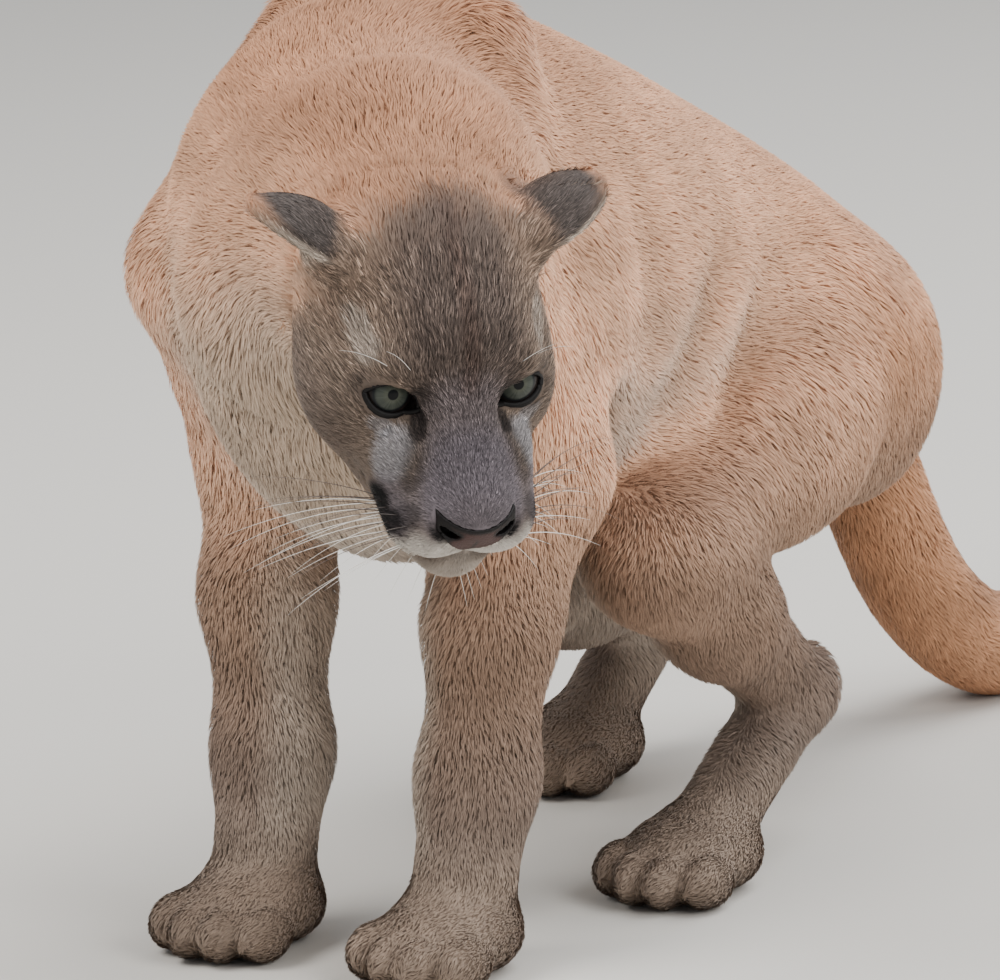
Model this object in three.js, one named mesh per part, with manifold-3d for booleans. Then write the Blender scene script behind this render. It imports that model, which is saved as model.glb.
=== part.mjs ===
// Cougar, a still life-size model: a stalking stance on four flat-soled paws, head turned
// to its left and lowered, tail laid back along the floor.
// Millimetres, +Z up, the animal faces -Y and its left side is +X.
// Origin: centre of the model's footprint, on the floor.
//
// The whole animal is one closed skin surface, a smooth joining of rounded limbs, egg
// shapes and a torso drawn through a few named sections. It is parted with thin plane
// cuts into the pieces that a person would name.

import * as THREE from "three";
import { mergeVertices } from "three/addons/utils/BufferGeometryUtils.js";
import Module from "manifold-3d";

const wasm = await Module();
wasm.setup();

// Driving dimensions
const weld = 0.05; // corners closer than this are one
const gap = 0.3; // clearance between pieces that meet face to face
const stand = { x: 29.13, y: 462.82 }; // footprint centre, from the point between the forepaws
const floor = 0; // level of the soles and of the resting tail

const torsoSections = [
  // place along the back, sideways centre, top, bottom, half width
  { y: -135, x: 8, top: 500, bottom: 372, half: 62 },
  { y: -80, x: 5, top: 566, bottom: 292, half: 96 },
  { y: 0, x: 2, top: 602, bottom: 246, half: 114 },
  { y: 90, x: 0, top: 592, bottom: 234, half: 126 },
  { y: 210, x: 0, top: 550, bottom: 226, half: 131 },
  { y: 330, x: 0, top: 500, bottom: 218, half: 123 },
  { y: 440, x: 0, top: 450, bottom: 218, half: 114 },
  { y: 530, x: 0, top: 398, bottom: 228, half: 94 },
  { y: 585, x: 0, top: 346, bottom: 244, half: 58 },
];
const torsoCap = 42; // how far the torso rounds off past its first and last section
const breast = { at: [30, -80, 400], size: [66, 62, 74] };

const neckLine = [
  { at: [8, -22, 478], radius: 112 },
  { at: [72, -100, 486], radius: 88 },
  { at: [130, -172, 468], radius: 70 },
];

const foreleg = {
  blade: { at: [58, 30, 572], radius: 34 },
  shoulder: { at: [88, -44, 430], radius: 50 },
  elbow: { at: [94, 34, 306], radius: 47 },
  forearm: { at: [84, 2, 215], radius: 40 },
  wrist: { at: [80, -8, 118], radius: 35 },
  knuckle: { at: [80, -26, 46], radius: 33 },
  muscle: { at: [86, 42, 400], size: [43, 74, 88] },
  pawCentre: [80, -44, 26],
  lean: { left: 0, right: 16 }, // how far the paw stands towards the middle, by side
};

const hindLegs = {
  left: {
    hip: [74, 396, 322],
    knee: [118, 152, 236],
    hock: [113, 348, 104],
    toeJoint: [113, 232, 36],
    pawCentre: [113, 208, 26],
  },
  right: {
    hip: [-74, 416, 320],
    knee: [-100, 336, 160],
    hock: [-98, 546, 104],
    toeJoint: [-98, 452, 36],
    pawCentre: [-98, 430, 26],
  },
};
const hindRadii = { hip: 88, thighMid: 84, knee: 46, calf: 44, shank: 34, hock: 26, foot: 27 };
const rump = { offset: [8, 80, -36], size: [56, 88, 84] };
const heel = { offset: [0, 16, 6], size: [19, 20, 24] };

const paw = { length: 120, width: 96, height: 54, toes: 4, toeRadius: [15, 27, 19] };
const tailSteps = 3; // straight lengths between two stops of the tail

const tailLine = [
  { at: [0, 556, 326], radius: 42 },
  { at: [3, 616, 246], radius: 37 },
  { at: [10, 662, 164], radius: 34 },
  { at: [20, 708, 92], radius: 33 },
  { at: [30, 774, 44], radius: 32.5 },
  { at: [31, 850, 30.8], radius: 32 },
  { at: [10, 985, 29.6], radius: 31 },
  { at: [-22, 1110, 27.8], radius: 29.5 },
  { at: [-46, 1180, 25], radius: 27 },
];

// The head has its own frame: its origin midway between the irises, with forward along
// the muzzle's direction, left and up. It is turned to the animal's left and lowered.
const headTurn = THREE.MathUtils.degToRad(53);
const headDip = THREE.MathUtils.degToRad(38);
const headOrigin = new THREE.Vector3(185, -215, 411);
const headForward = new THREE.Vector3(
  Math.sin(headTurn) * Math.cos(headDip),
  -Math.cos(headTurn) * Math.cos(headDip),
  -Math.sin(headDip),
);
const headLeft = new THREE.Vector3(Math.cos(headTurn), Math.sin(headTurn), 0);
const headUp = new THREE.Vector3().crossVectors(headForward, headLeft).normalize();

const eye = {
  radius: 17,
  centre: [-10, 40, -6],
  inner: [8, 24, -7],
  outer: [-6, 55, -1],
  openAbove: 13,
  openBelow: 7.8,
  lid: 3.2,
};
const ear = {
  base: [-80, 54, 34],
  axis: [-0.35, 0.85, 0.4],
  opening: [0.35, 0.52, -0.78],
  length: 62,
  width: 56,
  depth: 17,
  wall: 7,
  rootLength: 12,
  root: { along: 4, size: [22, 19, 25] },
};
const nose = { front: 60, top: -30, point: -56, half: 20.5, rise: 0.8, nostril: [11.5, -42.5] };
const mouth = { level: -68, droop: 4, back: 8, groove: 1.1, grooveDepth: 7 };

// Rounded shapes of the head in its own frame: centre, half sizes and softness of the
// joint; those marked paired stand on both sides
const skull = [
  { at: [-58, 0, 10], size: [66, 60, 50], softness: 22 },
  { at: [-40, 45, -26], size: [52, 33, 44], softness: 22, paired: true },
  { at: [-24, 0, 18], size: [34, 42, 26], softness: 18 },
  { at: [-9, 31, 15], size: [17, 20, 11], softness: 12, paired: true },
];
const bridge = [
  { at: [-8, 0, 3], radius: 24 },
  { at: [57, 0, -31], radius: 19 },
];
const snout = [
  { at: [30, 0, -48], size: [40, 38, 30], softness: 20 },
  { at: [18, 26, -42], size: [34, 26, 28], softness: 14, paired: true },
  { at: [48, 20, -54], size: [29, 27, 23], softness: 10, paired: true },
  { at: [60, 0, -41], size: [17, 20, 15], softness: 10 },
  { at: [48, 0, -81], size: [24, 24, 19], softness: 12 },
];
const jawLine = [
  { at: [-42, 34, -66], radius: 22 },
  { at: [28, 13, -77], radius: 17 },
];

// Colours of the coat and of the bare parts
const coat = {
  back: "#a5714f",
  side: "#b98f6d",
  leg: "#a98667",
  face: "#7d7068",
  muzzle: "#8f8580",
  chin: "#d9d3c8",
  ear: "#5c534e",
  tail: "#9a7052",
  tailTip: "#4a3a30",
};
const leather = "#4b332f";
const iris = "#6f7a6c";

// Points and frames
const headPoint = ([f, l, u]) =>
  headOrigin
    .clone()
    .addScaledVector(headForward, f)
    .addScaledVector(headLeft, l)
    .addScaledVector(headUp, u)
    .toArray();
const headDirection = ([f, l, u]) =>
  new THREE.Vector3()
    .addScaledVector(headForward, f)
    .addScaledVector(headLeft, l)
    .addScaledVector(headUp, u)
    .normalize();
const headAxes = [headForward, headLeft, headUp].map((axis) => axis.toArray());
const bodyAxes = [
  [1, 0, 0],
  [0, 1, 0],
  [0, 0, 1],
];
const mirror = ([x, y, z], side) => [side * x, y, z];
const plus = (a, b) => a.map((value, i) => value + b[i]);
const inHead = ([f, l, u], side) => headPoint([f, side * l, u]);
const between = (a, b, t) => a.map((value, i) => value + (b[i] - value) * t);

// Distance to a limb length that tapers from one rounded end to the other
function limb(a, radiusA, b, radiusB) {
  const along = b.map((value, i) => value - a[i]);
  const lengthSquared = along.reduce((sum, value) => sum + value * value, 0);
  return (x, y, z) => {
    const px = x - a[0];
    const py = y - a[1];
    const pz = z - a[2];
    const raw = (px * along[0] + py * along[1] + pz * along[2]) / lengthSquared;
    const t = Math.min(1, Math.max(0, raw));
    const away = Math.hypot(px - t * along[0], py - t * along[1], pz - t * along[2]);
    return away - (radiusA + (radiusB - radiusA) * t);
  };
}

// Distance to an egg shape with three half sizes along three axes
function egg(centre, sizes, axes = bodyAxes) {
  return (x, y, z) => {
    let near = 0;
    let slope = 0;
    for (let i = 0; i < 3; i++) {
      const axis = axes[i];
      const s =
        (x - centre[0]) * axis[0] + (y - centre[1]) * axis[1] + (z - centre[2]) * axis[2];
      near += (s / sizes[i]) ** 2;
      slope += (s / sizes[i] ** 2) ** 2;
    }
    if (slope < 1e-12) return -Math.min(...sizes);
    return (Math.sqrt(near) * (Math.sqrt(near) - 1)) / Math.sqrt(slope);
  };
}

// Value of a smooth curve through the sections' named sizes
function sectionValue(key, y) {
  const last = torsoSections.length - 1;
  const held = Math.min(torsoSections[last].y, Math.max(torsoSections[0].y, y));
  let i = 0;
  while (i < last - 1 && torsoSections[i + 1].y < held) i++;
  const s0 = torsoSections[Math.max(0, i - 1)];
  const s1 = torsoSections[i];
  const s2 = torsoSections[i + 1];
  const s3 = torsoSections[Math.min(last, i + 2)];
  const span = s2.y - s1.y;
  const t = (held - s1.y) / span;
  const slope1 = ((s2[key] - s0[key]) / (s2.y - s0.y)) * span;
  const slope2 = ((s3[key] - s1[key]) / (s3.y - s1.y)) * span;
  const t2 = t * t;
  const t3 = t2 * t;
  return (
    (2 * t3 - 3 * t2 + 1) * s1[key] +
    (t3 - 2 * t2 + t) * slope1 +
    (3 * t2 - 2 * t3) * s2[key] +
    (t3 - t2) * slope2
  );
}

// Distance to the torso: an upright oval section that changes along the back
function torso(x, y, z) {
  const centre = sectionValue("x", y);
  const top = sectionValue("top", y);
  const bottom = sectionValue("bottom", y);
  const half = sectionValue("half", y);
  const high = (top - bottom) / 2;
  const first = torsoSections[0].y;
  const final = torsoSections[torsoSections.length - 1].y;
  const past = Math.max(0, first - y, y - final);
  const sideways = (x - centre) / half;
  const upright = (z - (top + bottom) / 2) / high;
  const lengthways = past / torsoCap;
  const near = Math.sqrt(sideways ** 2 + upright ** 2 + lengthways ** 2);
  const slope = Math.hypot(sideways / half, upright / high, lengthways / torsoCap);
  return slope < 1e-9 ? -half : (near * (near - 1)) / slope;
}

// Two distances joined with a rounded valley of the given softness
function join(a, b, softness) {
  const overlap = Math.max(softness - Math.abs(a - b), 0) / softness;
  return Math.min(a, b) - overlap * overlap * softness * 0.25;
}

// All rounded shapes of the flesh, each with the softness of its joint to the rest
const flesh = [{ shape: torso, softness: 1 }];
const addShape = (shape, softness) => flesh.push({ shape, softness });
const addLine = (stops, softness) => {
  for (let i = 0; i + 1 < stops.length; i++) {
    const from = stops[i];
    const to = stops[i + 1];
    addShape(limb(from.at, from.radius, to.at, to.radius), softness);
  }
};

addLine(neckLine, 45);
addShape(egg(breast.at, breast.size), 40);

// Stops set along a smooth curve through the given stops
function smoothed(stops, steps) {
  const places = new THREE.CatmullRomCurve3(stops.map((stop) => new THREE.Vector3(...stop.at)));
  const fine = [];
  for (let i = 0; i + 1 < stops.length; i++)
    for (let k = 0; k < steps; k++) {
      const at = places.getPoint((i + k / steps) / (stops.length - 1)).toArray();
      fine.push({ at, radius: between([stops[i].radius], [stops[i + 1].radius], k / steps)[0] });
    }
  return [...fine, stops[stops.length - 1]];
}

function addPaw(centre, reach) {
  const [x, y, z] = centre;
  addShape(egg([x, y + reach * 0.3, z], [paw.width * 0.44, paw.length * 0.42, paw.height / 2]), 16);
  addShape(egg([x, y + 22, z - 6], [paw.width * 0.36, 30, 22]), 14);
  for (let i = 0; i < paw.toes; i++) {
    const across = (i - (paw.toes - 1) / 2) / ((paw.toes - 1) / 2);
    const forward = 64 - 15 * across * across;
    const place = [x + across * paw.width * 0.335, y - forward + 14, 19];
    addShape(egg(place, paw.toeRadius), 7);
  }
}

const sides = [
  [1, "left"],
  [-1, "right"],
];
for (const [side, name] of sides) {
  const { blade, shoulder, elbow, forearm, wrist, knuckle, muscle, pawCentre, lean } = foreleg;
  const leant = ([x, y, z]) => {
    const below = Math.max(0, 1 - z / elbow.at[2]) / (1 - pawCentre[2] / elbow.at[2]);
    return [side * (x - lean[name] * below), y, z];
  };
  const stops = [blade, shoulder, elbow, forearm, wrist, knuckle].map((stop) => ({
    at: leant(stop.at),
    radius: stop.radius,
  }));
  addLine(stops, 24);
  addShape(egg(mirror(muscle.at, side), muscle.size), 40);
  addPaw(leant(pawCentre), -4);
}

for (const side of ["left", "right"]) {
  const { hip, knee, hock, toeJoint, pawCentre } = hindLegs[side];
  const outward = Math.sign(hip[0]);
  const thighMid = between(hip, knee, 0.42);
  thighMid[1] += 26;
  addShape(limb(hip, hindRadii.hip, thighMid, hindRadii.thighMid - 6), 45);
  addShape(limb(thighMid, hindRadii.thighMid - 12, knee, hindRadii.knee), 40);
  addShape(egg(plus(hip, mirror(rump.offset, outward)), rump.size), 50);
  addShape(limb(knee, hindRadii.calf, between(knee, hock, 0.45), hindRadii.shank + 6), 30);
  addShape(limb(between(knee, hock, 0.4), hindRadii.shank + 4, hock, hindRadii.hock), 22);
  addShape(egg(plus(hock, heel.offset), heel.size), 16);
  addShape(limb(hock, hindRadii.hock, toeJoint, hindRadii.foot), 18);
  addPaw(pawCentre, 4);
}

addLine(smoothed(tailLine, tailSteps), 16);

// Head: skull with cheeks and brow, bridge, muzzle with its chin, jaw and eyeballs
const addHeadEggs = (shapes) => {
  for (const { at, size, softness, paired } of shapes)
    for (const side of paired ? [1, -1] : [1])
      addShape(egg(inHead(at, side), size, headAxes), softness);
};
const headLimb = ([from, to], side) =>
  limb(inHead(from.at, side), from.radius, inHead(to.at, side), to.radius);
addHeadEggs(skull);
addShape(headLimb(bridge, 1), 16);
addHeadEggs(snout);
for (const side of [1, -1]) {
  const ball = eye.radius + eye.lid;
  addShape(headLimb(jawLine, side), 20);
  addShape(egg(inHead(eye.centre, side), [ball, ball, ball]), 6);
}

// Ears: each has its axis, the way its cup opens and the way across, and a root on the skull
const ears = [1, -1].map((side) => {
  const axis = headDirection([ear.axis[0], side * ear.axis[1], ear.axis[2]]);
  const rough = headDirection([ear.opening[0], side * ear.opening[1], ear.opening[2]]);
  const opening = rough.addScaledVector(axis, -rough.dot(axis)).normalize();
  const across = new THREE.Vector3().crossVectors(opening, axis);
  const base = new THREE.Vector3(...inHead(ear.base, side));
  const root = base.clone().addScaledVector(axis, ear.root.along).toArray();
  const axes = [axis, opening, across].map((vector) => vector.toArray());
  addShape(egg(root, ear.root.size, axes), 14);
  return { side, base, axis, opening, across };
});

// Distance to the whole flesh
function body(x, y, z) {
  let total = Infinity;
  for (const { shape, softness } of flesh) {
    const value = shape(x, y, z);
    total = total === Infinity ? value : join(total, value, softness);
  }
  return total;
}

// Closed surface of a distance function inside a box: one point in each grid cell that
// the surface crosses, moved onto the surface, and a four-sided face for each grid edge
function surfaceSolid(distance, low, high, cell) {
  const counts = low.map((value, i) => Math.ceil((high[i] - value) / cell) + 1);
  const [nx, ny, nz] = counts;
  const values = new Float64Array(nx * ny * nz);
  const index = (i, j, k) => (k * ny + j) * nx + i;
  for (let k = 0; k < nz; k++)
    for (let j = 0; j < ny; j++)
      for (let i = 0; i < nx; i++) {
        const rim = i === 0 || j === 0 || k === 0 || i === nx - 1 || j === ny - 1 || k === nz - 1;
        const value = distance(low[0] + i * cell, low[1] + j * cell, low[2] + k * cell);
        values[index(i, j, k)] = rim ? Math.max(value, cell * 0.5) : value;
      }
  const corners = [0, 1, 2, 3, 4, 5, 6, 7].map((n) => [n & 1, (n >> 1) & 1, (n >> 2) & 1]);
  const edges = [];
  for (let a = 0; a < 8; a++)
    for (const bit of [1, 2, 4]) if (!(a & bit)) edges.push([a, a | bit]);
  const keptInCell = (value, axis, n) => {
    const from = low[axis] + (n + 0.03) * cell;
    return Math.min(from + 0.94 * cell, Math.max(from, value));
  };
  const pointOf = new Int32Array(nx * ny * nz).fill(-1);
  const points = [];
  for (let k = 0; k < nz - 1; k++)
    for (let j = 0; j < ny - 1; j++)
      for (let i = 0; i < nx - 1; i++) {
        const corner = corners.map(([a, b, c]) => values[index(i + a, j + b, k + c)]);
        const inside = corner.filter((value) => value < 0).length;
        if (inside === 0 || inside === 8) continue;
        const sum = [0, 0, 0];
        let crossings = 0;
        for (const [a, b] of edges) {
          if (corner[a] < 0 === corner[b] < 0) continue;
          const t = corner[a] / (corner[a] - corner[b]);
          for (let n = 0; n < 3; n++) sum[n] += corners[a][n] + t * (corners[b][n] - corners[a][n]);
          crossings++;
        }
        const rim = i === 0 || j === 0 || k === 0 || i === nx - 2 || j === ny - 2 || k === nz - 2;
        const start = [i, j, k].map((n, axis) => low[axis] + (n + sum[axis] / crossings) * cell);
        pointOf[index(i, j, k)] = points.length / 3;
        const settled = rim ? start : ontoSurface(distance, start, cell * 0.4);
        points.push(...settled.map((value, axis) => keptInCell(value, axis, [i, j, k][axis])));
      }
  const faces = [];
  const quad = (a, b, c, d, flip) => {
    const order = flip ? [a, d, c, b] : [a, b, c, d];
    const [p, q, r, s] = order.map((n) => points.slice(3 * n, 3 * n + 3));
    const first = Math.hypot(p[0] - r[0], p[1] - r[1], p[2] - r[2]);
    const second = Math.hypot(q[0] - s[0], q[1] - s[1], q[2] - s[2]);
    if (first <= second) faces.push(order[0], order[1], order[2], order[0], order[2], order[3]);
    else faces.push(order[1], order[2], order[3], order[1], order[3], order[0]);
  };
  for (let k = 0; k < nz - 1; k++)
    for (let j = 0; j < ny - 1; j++)
      for (let i = 0; i < nx - 1; i++) {
        const here = values[index(i, j, k)] < 0;
        const at = (a, b, c) => pointOf[index(i - a, j - b, k - c)];
        if (j > 0 && k > 0 && here !== values[index(i + 1, j, k)] < 0)
          quad(at(0, 1, 1), at(0, 0, 1), at(0, 0, 0), at(0, 1, 0), !here);
        if (i > 0 && k > 0 && here !== values[index(i, j + 1, k)] < 0)
          quad(at(1, 0, 1), at(1, 0, 0), at(0, 0, 0), at(0, 0, 1), !here);
        if (i > 0 && j > 0 && here !== values[index(i, j, k + 1)] < 0)
          quad(at(1, 1, 0), at(0, 1, 0), at(0, 0, 0), at(1, 0, 0), !here);
      }
  return new wasm.Manifold(
    new wasm.Mesh({
      numProp: 3,
      vertProperties: new Float32Array(points),
      triVerts: new Uint32Array(faces),
    }),
  );
}

// A point moved along the slope of a distance function until it lies on the surface
function ontoSurface(distance, start, furthest) {
  const point = [...start];
  const step = 0.5;
  for (let pass = 0; pass < 3; pass++) {
    const value = distance(...point);
    const slope = [0, 1, 2].map((axis) => {
      const ahead = [...point];
      ahead[axis] += step;
      return (distance(...ahead) - value) / step;
    });
    const steep = slope.reduce((sum, n) => sum + n * n, 0);
    if (steep < 0.05) break;
    for (let axis = 0; axis < 3; axis++) point[axis] -= (value * slope[axis]) / steep;
  }
  const moved = Math.hypot(...point.map((value, axis) => value - start[axis]));
  return moved > furthest ? between(start, point, furthest / moved) : point;
}

// A closed three.js geometry as a solid that can be joined and cut
function solidOf(geometry) {
  const bare = geometry.clone();
  bare.deleteAttribute("normal");
  bare.deleteAttribute("uv");
  const merged = mergeVertices(bare, 1e-4);
  return new wasm.Manifold(
    new wasm.Mesh({
      numProp: 3,
      vertProperties: new Float32Array(merged.attributes.position.array),
      triVerts: new Uint32Array(merged.index.array),
    }),
  );
}

// The largest closed body of a solid
const largest = (solid) =>
  solid.decompose().reduce((best, piece) => (piece.volume() > best.volume() ? piece : best));

// A region of space behind a few planes, each given by a point on it and the direction
// that points into the region; it can be grown by the clearance for cutting a neighbour
const regions = {};
const everything = solidOf(new THREE.BoxGeometry(4000, 4000, 4000));
function region(planes, grow) {
  let solid = everything;
  for (const { at, into } of planes) {
    const normal = new THREE.Vector3(...into).normalize();
    const offset = normal.dot(new THREE.Vector3(...at)) - grow;
    solid = solid.trimByPlane(normal.toArray(), offset);
  }
  return solid;
}
const behind = (at, into) => ({ at, into });
const headPlane = (at, into) => behind(headPoint(at), headDirection(into).toArray());

const aboveFloor = behind([0, 0, floor], [0, 0, 1]);
const nape = headPlane([-84, 0, -20], [0.88, -0.243, 0.407]);
const collar = behind([48, -85, 487], [0.5, -0.72, 0.48]);
const faceEdge = headPlane([-36, 0, 0], [1, 0, 0]);
const muzzleEdge = headPlane([20, 0, -20], [0.8, 0, -0.6]);
const withersLevel = 318;
const wristLevel = 96;

regions.muzzle = [nape, muzzleEdge];
regions.face = [nape, faceEdge];
regions.crown = [nape];
regions.neck = [collar];
for (const { side, base, axis } of ears) {
  const root = base.clone().addScaledVector(axis, ear.rootLength);
  const over = headPlane([0, 0, 8], [0, 0, 1]);
  const back = headPlane([-46, 0, 0], [-1, 0, 0]);
  const before = headPlane([-135, 0, 0], [1, 0, 0]);
  const name = side > 0 ? "ear_left" : "ear_right";
  regions[name] = [behind(root.toArray(), axis.toArray()), over, back, before];
}
for (const [side, name] of sides) {
  const legSide = behind([side * 38, 0, 0], [side, 0, 0]);
  const legBack = behind([0, 125, 0], [0, -1, 0]);
  const legTop = behind([0, 0, withersLevel], [0, 0, -1]);
  regions[`forepaw_${name}`] = [legSide, legBack, behind([0, 0, wristLevel], [0, 0, -1])];
  regions[`foreleg_${name}`] = [legSide, legBack, legTop];
  regions[`shoulder_${name}`] = [behind([side * 72, 0, 0], [side, 0, 0]), legBack];
  const { hip, knee, hock, toeJoint } = hindLegs[name];
  const shankWay = new THREE.Vector3(...hock).sub(new THREE.Vector3(...knee)).normalize();
  const footWay = new THREE.Vector3(...toeJoint).sub(new THREE.Vector3(...hock)).normalize();
  const hockBisector = shankWay.clone().add(footWay).setX(0).normalize();
  const overCalf = new THREE.Vector3(0, shankWay.z, -shankWay.y);
  const calfTop = between(knee, hock, 0.5);
  calfTop[2] += 46;
  const outside = behind([side * 50, 0, 0], [side, 0, 0]);
  const under = behind(hock, [0, hockBisector.y, hockBisector.z]);
  regions[`hind_foot_${name}`] = [outside, under, behind([0, knee[1] - 40, 0], [0, 1, 0])];
  regions[`shank_${name}`] = [
    outside,
    behind(between(knee, hock, 0.24), shankWay.toArray()),
    behind(calfTop, overCalf.toArray()),
  ];
  regions[`thigh_${name}`] = [
    behind([side * 58, 0, 0], [side, 0, 0]),
    behind([0, knee[1] - 60, knee[2] + 70], [0, 0.62, -0.78]),
    behind([0, knee[1] - 58, 0], [0, 1, 0]),
    behind([0, hip[1] + 200, 0], [0, -1, 0]),
  ];
}
regions.tail_tip = [behind([0, 985, 0], [-0.2, 0.98, 0])];
regions.tail_middle = [behind([0, 775, 0], [0, 1, 0])];
regions.tail_base = [behind([0, 606, 270], [0.07, 0.56, -0.82]), behind([0, 560, 0], [0, 1, 0])];
regions.chest = [behind([0, 125, 0], [0, -1, 0])];
regions.belly = [behind([0, 350, 0], [0, -1, 0])];
regions.hips = [];

// Which pieces each piece gives way to
const legNames = (name) => [`hind_foot_${name}`, `shank_${name}`, `thigh_${name}`];
const frontNames = (name) => [`forepaw_${name}`, `foreleg_${name}`, `shoulder_${name}`];
const allHind = [...legNames("left"), ...legNames("right")];
const allFront = [...frontNames("left"), ...frontNames("right")];
const earNames = ["ear_left", "ear_right"];
const headNames = ["crown", "neck", ...earNames];
const givesWay = {
  face: ["muzzle"],
  crown: ["face", ...earNames],
  neck: ["crown", ...earNames],
  chest: [...allFront, ...headNames, "thigh_left", "thigh_right"],
  belly: [...allHind, ...allFront, "chest"],
  hips: [...allHind, "belly", "tail_base"],
  tail_middle: ["tail_tip"],
  tail_base: ["tail_middle"],
};
for (const name of ["left", "right"]) {
  givesWay[`foreleg_${name}`] = [`forepaw_${name}`, `thigh_${name}`];
  givesWay[`shoulder_${name}`] = [`foreleg_${name}`, `thigh_${name}`, ...headNames];
  givesWay[`shank_${name}`] = [`hind_foot_${name}`];
  givesWay[`thigh_${name}`] = [`shank_${name}`, `hind_foot_${name}`, "tail_base"];
}

function cutOut(name, low, high, cell) {
  const own = region([...regions[name], aboveFloor], 0);
  let solid = surfaceSolid(body, low, high, cell).intersect(own);
  for (const other of givesWay[name] ?? []) solid = solid.subtract(region(regions[other], gap));
  return largest(solid);
}

// Boxes round a set of points, with a margin
function around(points, margin) {
  const box = new THREE.Box3().setFromPoints(points.map((point) => new THREE.Vector3(...point)));
  box.expandByScalar(margin);
  return [box.min.toArray(), box.max.toArray()];
}

const finishes = {
  coat: { roughness: 0.85, metalness: 0 },
  leather: { roughness: 0.55, metalness: 0 },
  eye: { roughness: 0.08, metalness: 0 },
};
const cougar = new THREE.Group();
cougar.position.set(-stand.x, -stand.y, 0);

// The same surface with corners closer than the weld made one, and without the slivers
// that this leaves: a triangle with two like corners, or two that lie back to back
function welded(geometry) {
  const merged = mergeVertices(geometry, weld);
  const corners = merged.index.array;
  const kept = new Map();
  for (let i = 0; i < corners.length; i += 3) {
    const triangle = [...corners.slice(i, i + 3)];
    if (new Set(triangle).size < 3) continue;
    const key = [...triangle].sort((a, b) => a - b).join(" ");
    if (kept.has(key)) kept.delete(key);
    else kept.set(key, triangle);
  }
  merged.setIndex([...kept.values()].flat());
  return merged;
}

function addPiece(name, solid, color, finish = "coat") {
  const { vertProperties, triVerts, numProp } = solid.getMesh();
  const positions = new Float32Array((vertProperties.length / numProp) * 3);
  for (let i = 0; i < positions.length / 3; i++)
    for (let n = 0; n < 3; n++) positions[3 * i + n] = vertProperties[numProp * i + n];
  const geometry = new THREE.BufferGeometry();
  geometry.setAttribute("position", new THREE.BufferAttribute(positions, 3));
  geometry.setIndex(new THREE.BufferAttribute(new Uint32Array(triVerts), 1));
  const surface = welded(geometry);
  surface.computeVertexNormals();
  const material = new THREE.MeshStandardMaterial({ color, ...finishes[finish] });
  const mesh = new THREE.Mesh(surface, material);
  mesh.name = name;
  cougar.add(mesh);
}

// Eye opening: an almond between the two corners of the lids, carried along the way the
// eye faces, and the eyeball behind it
function eyeTools(side) {
  const inner = new THREE.Vector3(...inHead(eye.inner, side));
  const outer = new THREE.Vector3(...inHead(eye.outer, side));
  const centre = new THREE.Vector3(...inHead(eye.centre, side));
  const across = outer.clone().sub(inner).normalize();
  const facing = headDirection([0.9, side * 0.4, 0.17]);
  facing.addScaledVector(across, -facing.dot(across)).normalize();
  const upward = headUp.clone();
  upward.addScaledVector(across, -upward.dot(across));
  upward.addScaledVector(facing, -upward.dot(facing)).normalize();
  const half = inner.distanceTo(outer) / 2;
  const almond = new THREE.Shape();
  const turns = 14;
  for (let i = 0; i < turns; i++) {
    const angle = (i / turns) * 2 * Math.PI;
    const reach = Math.sin(angle) > 0 ? eye.openAbove : eye.openBelow;
    const point = [half * Math.cos(angle), reach * Math.sin(angle) * Math.abs(Math.sin(angle)) ** 0.35];
    if (i === 0) almond.moveTo(...point);
    else almond.lineTo(...point);
  }
  almond.closePath();
  const opening = new THREE.ExtrudeGeometry(almond, { depth: 60, bevelEnabled: false });
  const handed = new THREE.Vector3().crossVectors(across, upward).dot(facing) > 0 ? 1 : -1;
  const frame = new THREE.Matrix4().makeBasis(across.clone().multiplyScalar(handed), upward, facing);
  const middle = inner.clone().add(outer).multiplyScalar(0.5).addScaledVector(facing, -8);
  opening.applyMatrix4(frame.setPosition(middle));
  const ball = (extra) => {
    const sphere = new THREE.SphereGeometry(eye.radius + extra, 16, 10);
    return solidOf(sphere.translate(centre.x, centre.y, centre.z));
  };
  return { opening: solidOf(opening), ball };
}

// Ear cup: a round shell of even wall, bent back into a bowl, its rim on the outline
function earCup({ base, axis, opening, across }) {
  const middle = base.clone().addScaledVector(axis, ear.length * 0.42);
  const sphere = new THREE.SphereGeometry(1, 18, 14);
  const places = sphere.attributes.position;
  for (let i = 0; i < places.count; i++) {
    const [wide, front, long] = [places.getX(i), places.getY(i), places.getZ(i)];
    const radius = Math.min(1, Math.hypot(wide, long));
    const bowl = -ear.depth * (1 - radius ** 2);
    const point = middle
      .clone()
      .addScaledVector(across, (wide * ear.width) / 2)
      .addScaledVector(axis, long * ear.length * 0.6)
      .addScaledVector(opening, bowl + Math.sign(front) * Math.abs(front) ** 0.5 * ear.wall * 0.5);
    places.setXYZ(i, point.x, point.y, point.z);
  }
  return solidOf(sphere);
}

// Muzzle with its nose leather, nostrils and the line of the mouth
function headExtrusion(shape, from, depth) {
  const geometry = new THREE.ExtrudeGeometry(shape, { depth, curveSegments: 5, bevelEnabled: false });
  const frame = new THREE.Matrix4().makeBasis(headLeft, headUp, headForward);
  if (frame.determinant() < 0) frame.makeBasis(headLeft.clone().negate(), headUp, headForward);
  return solidOf(geometry.applyMatrix4(frame.setPosition(...headPoint([from, 0, 0]))));
}

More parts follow.
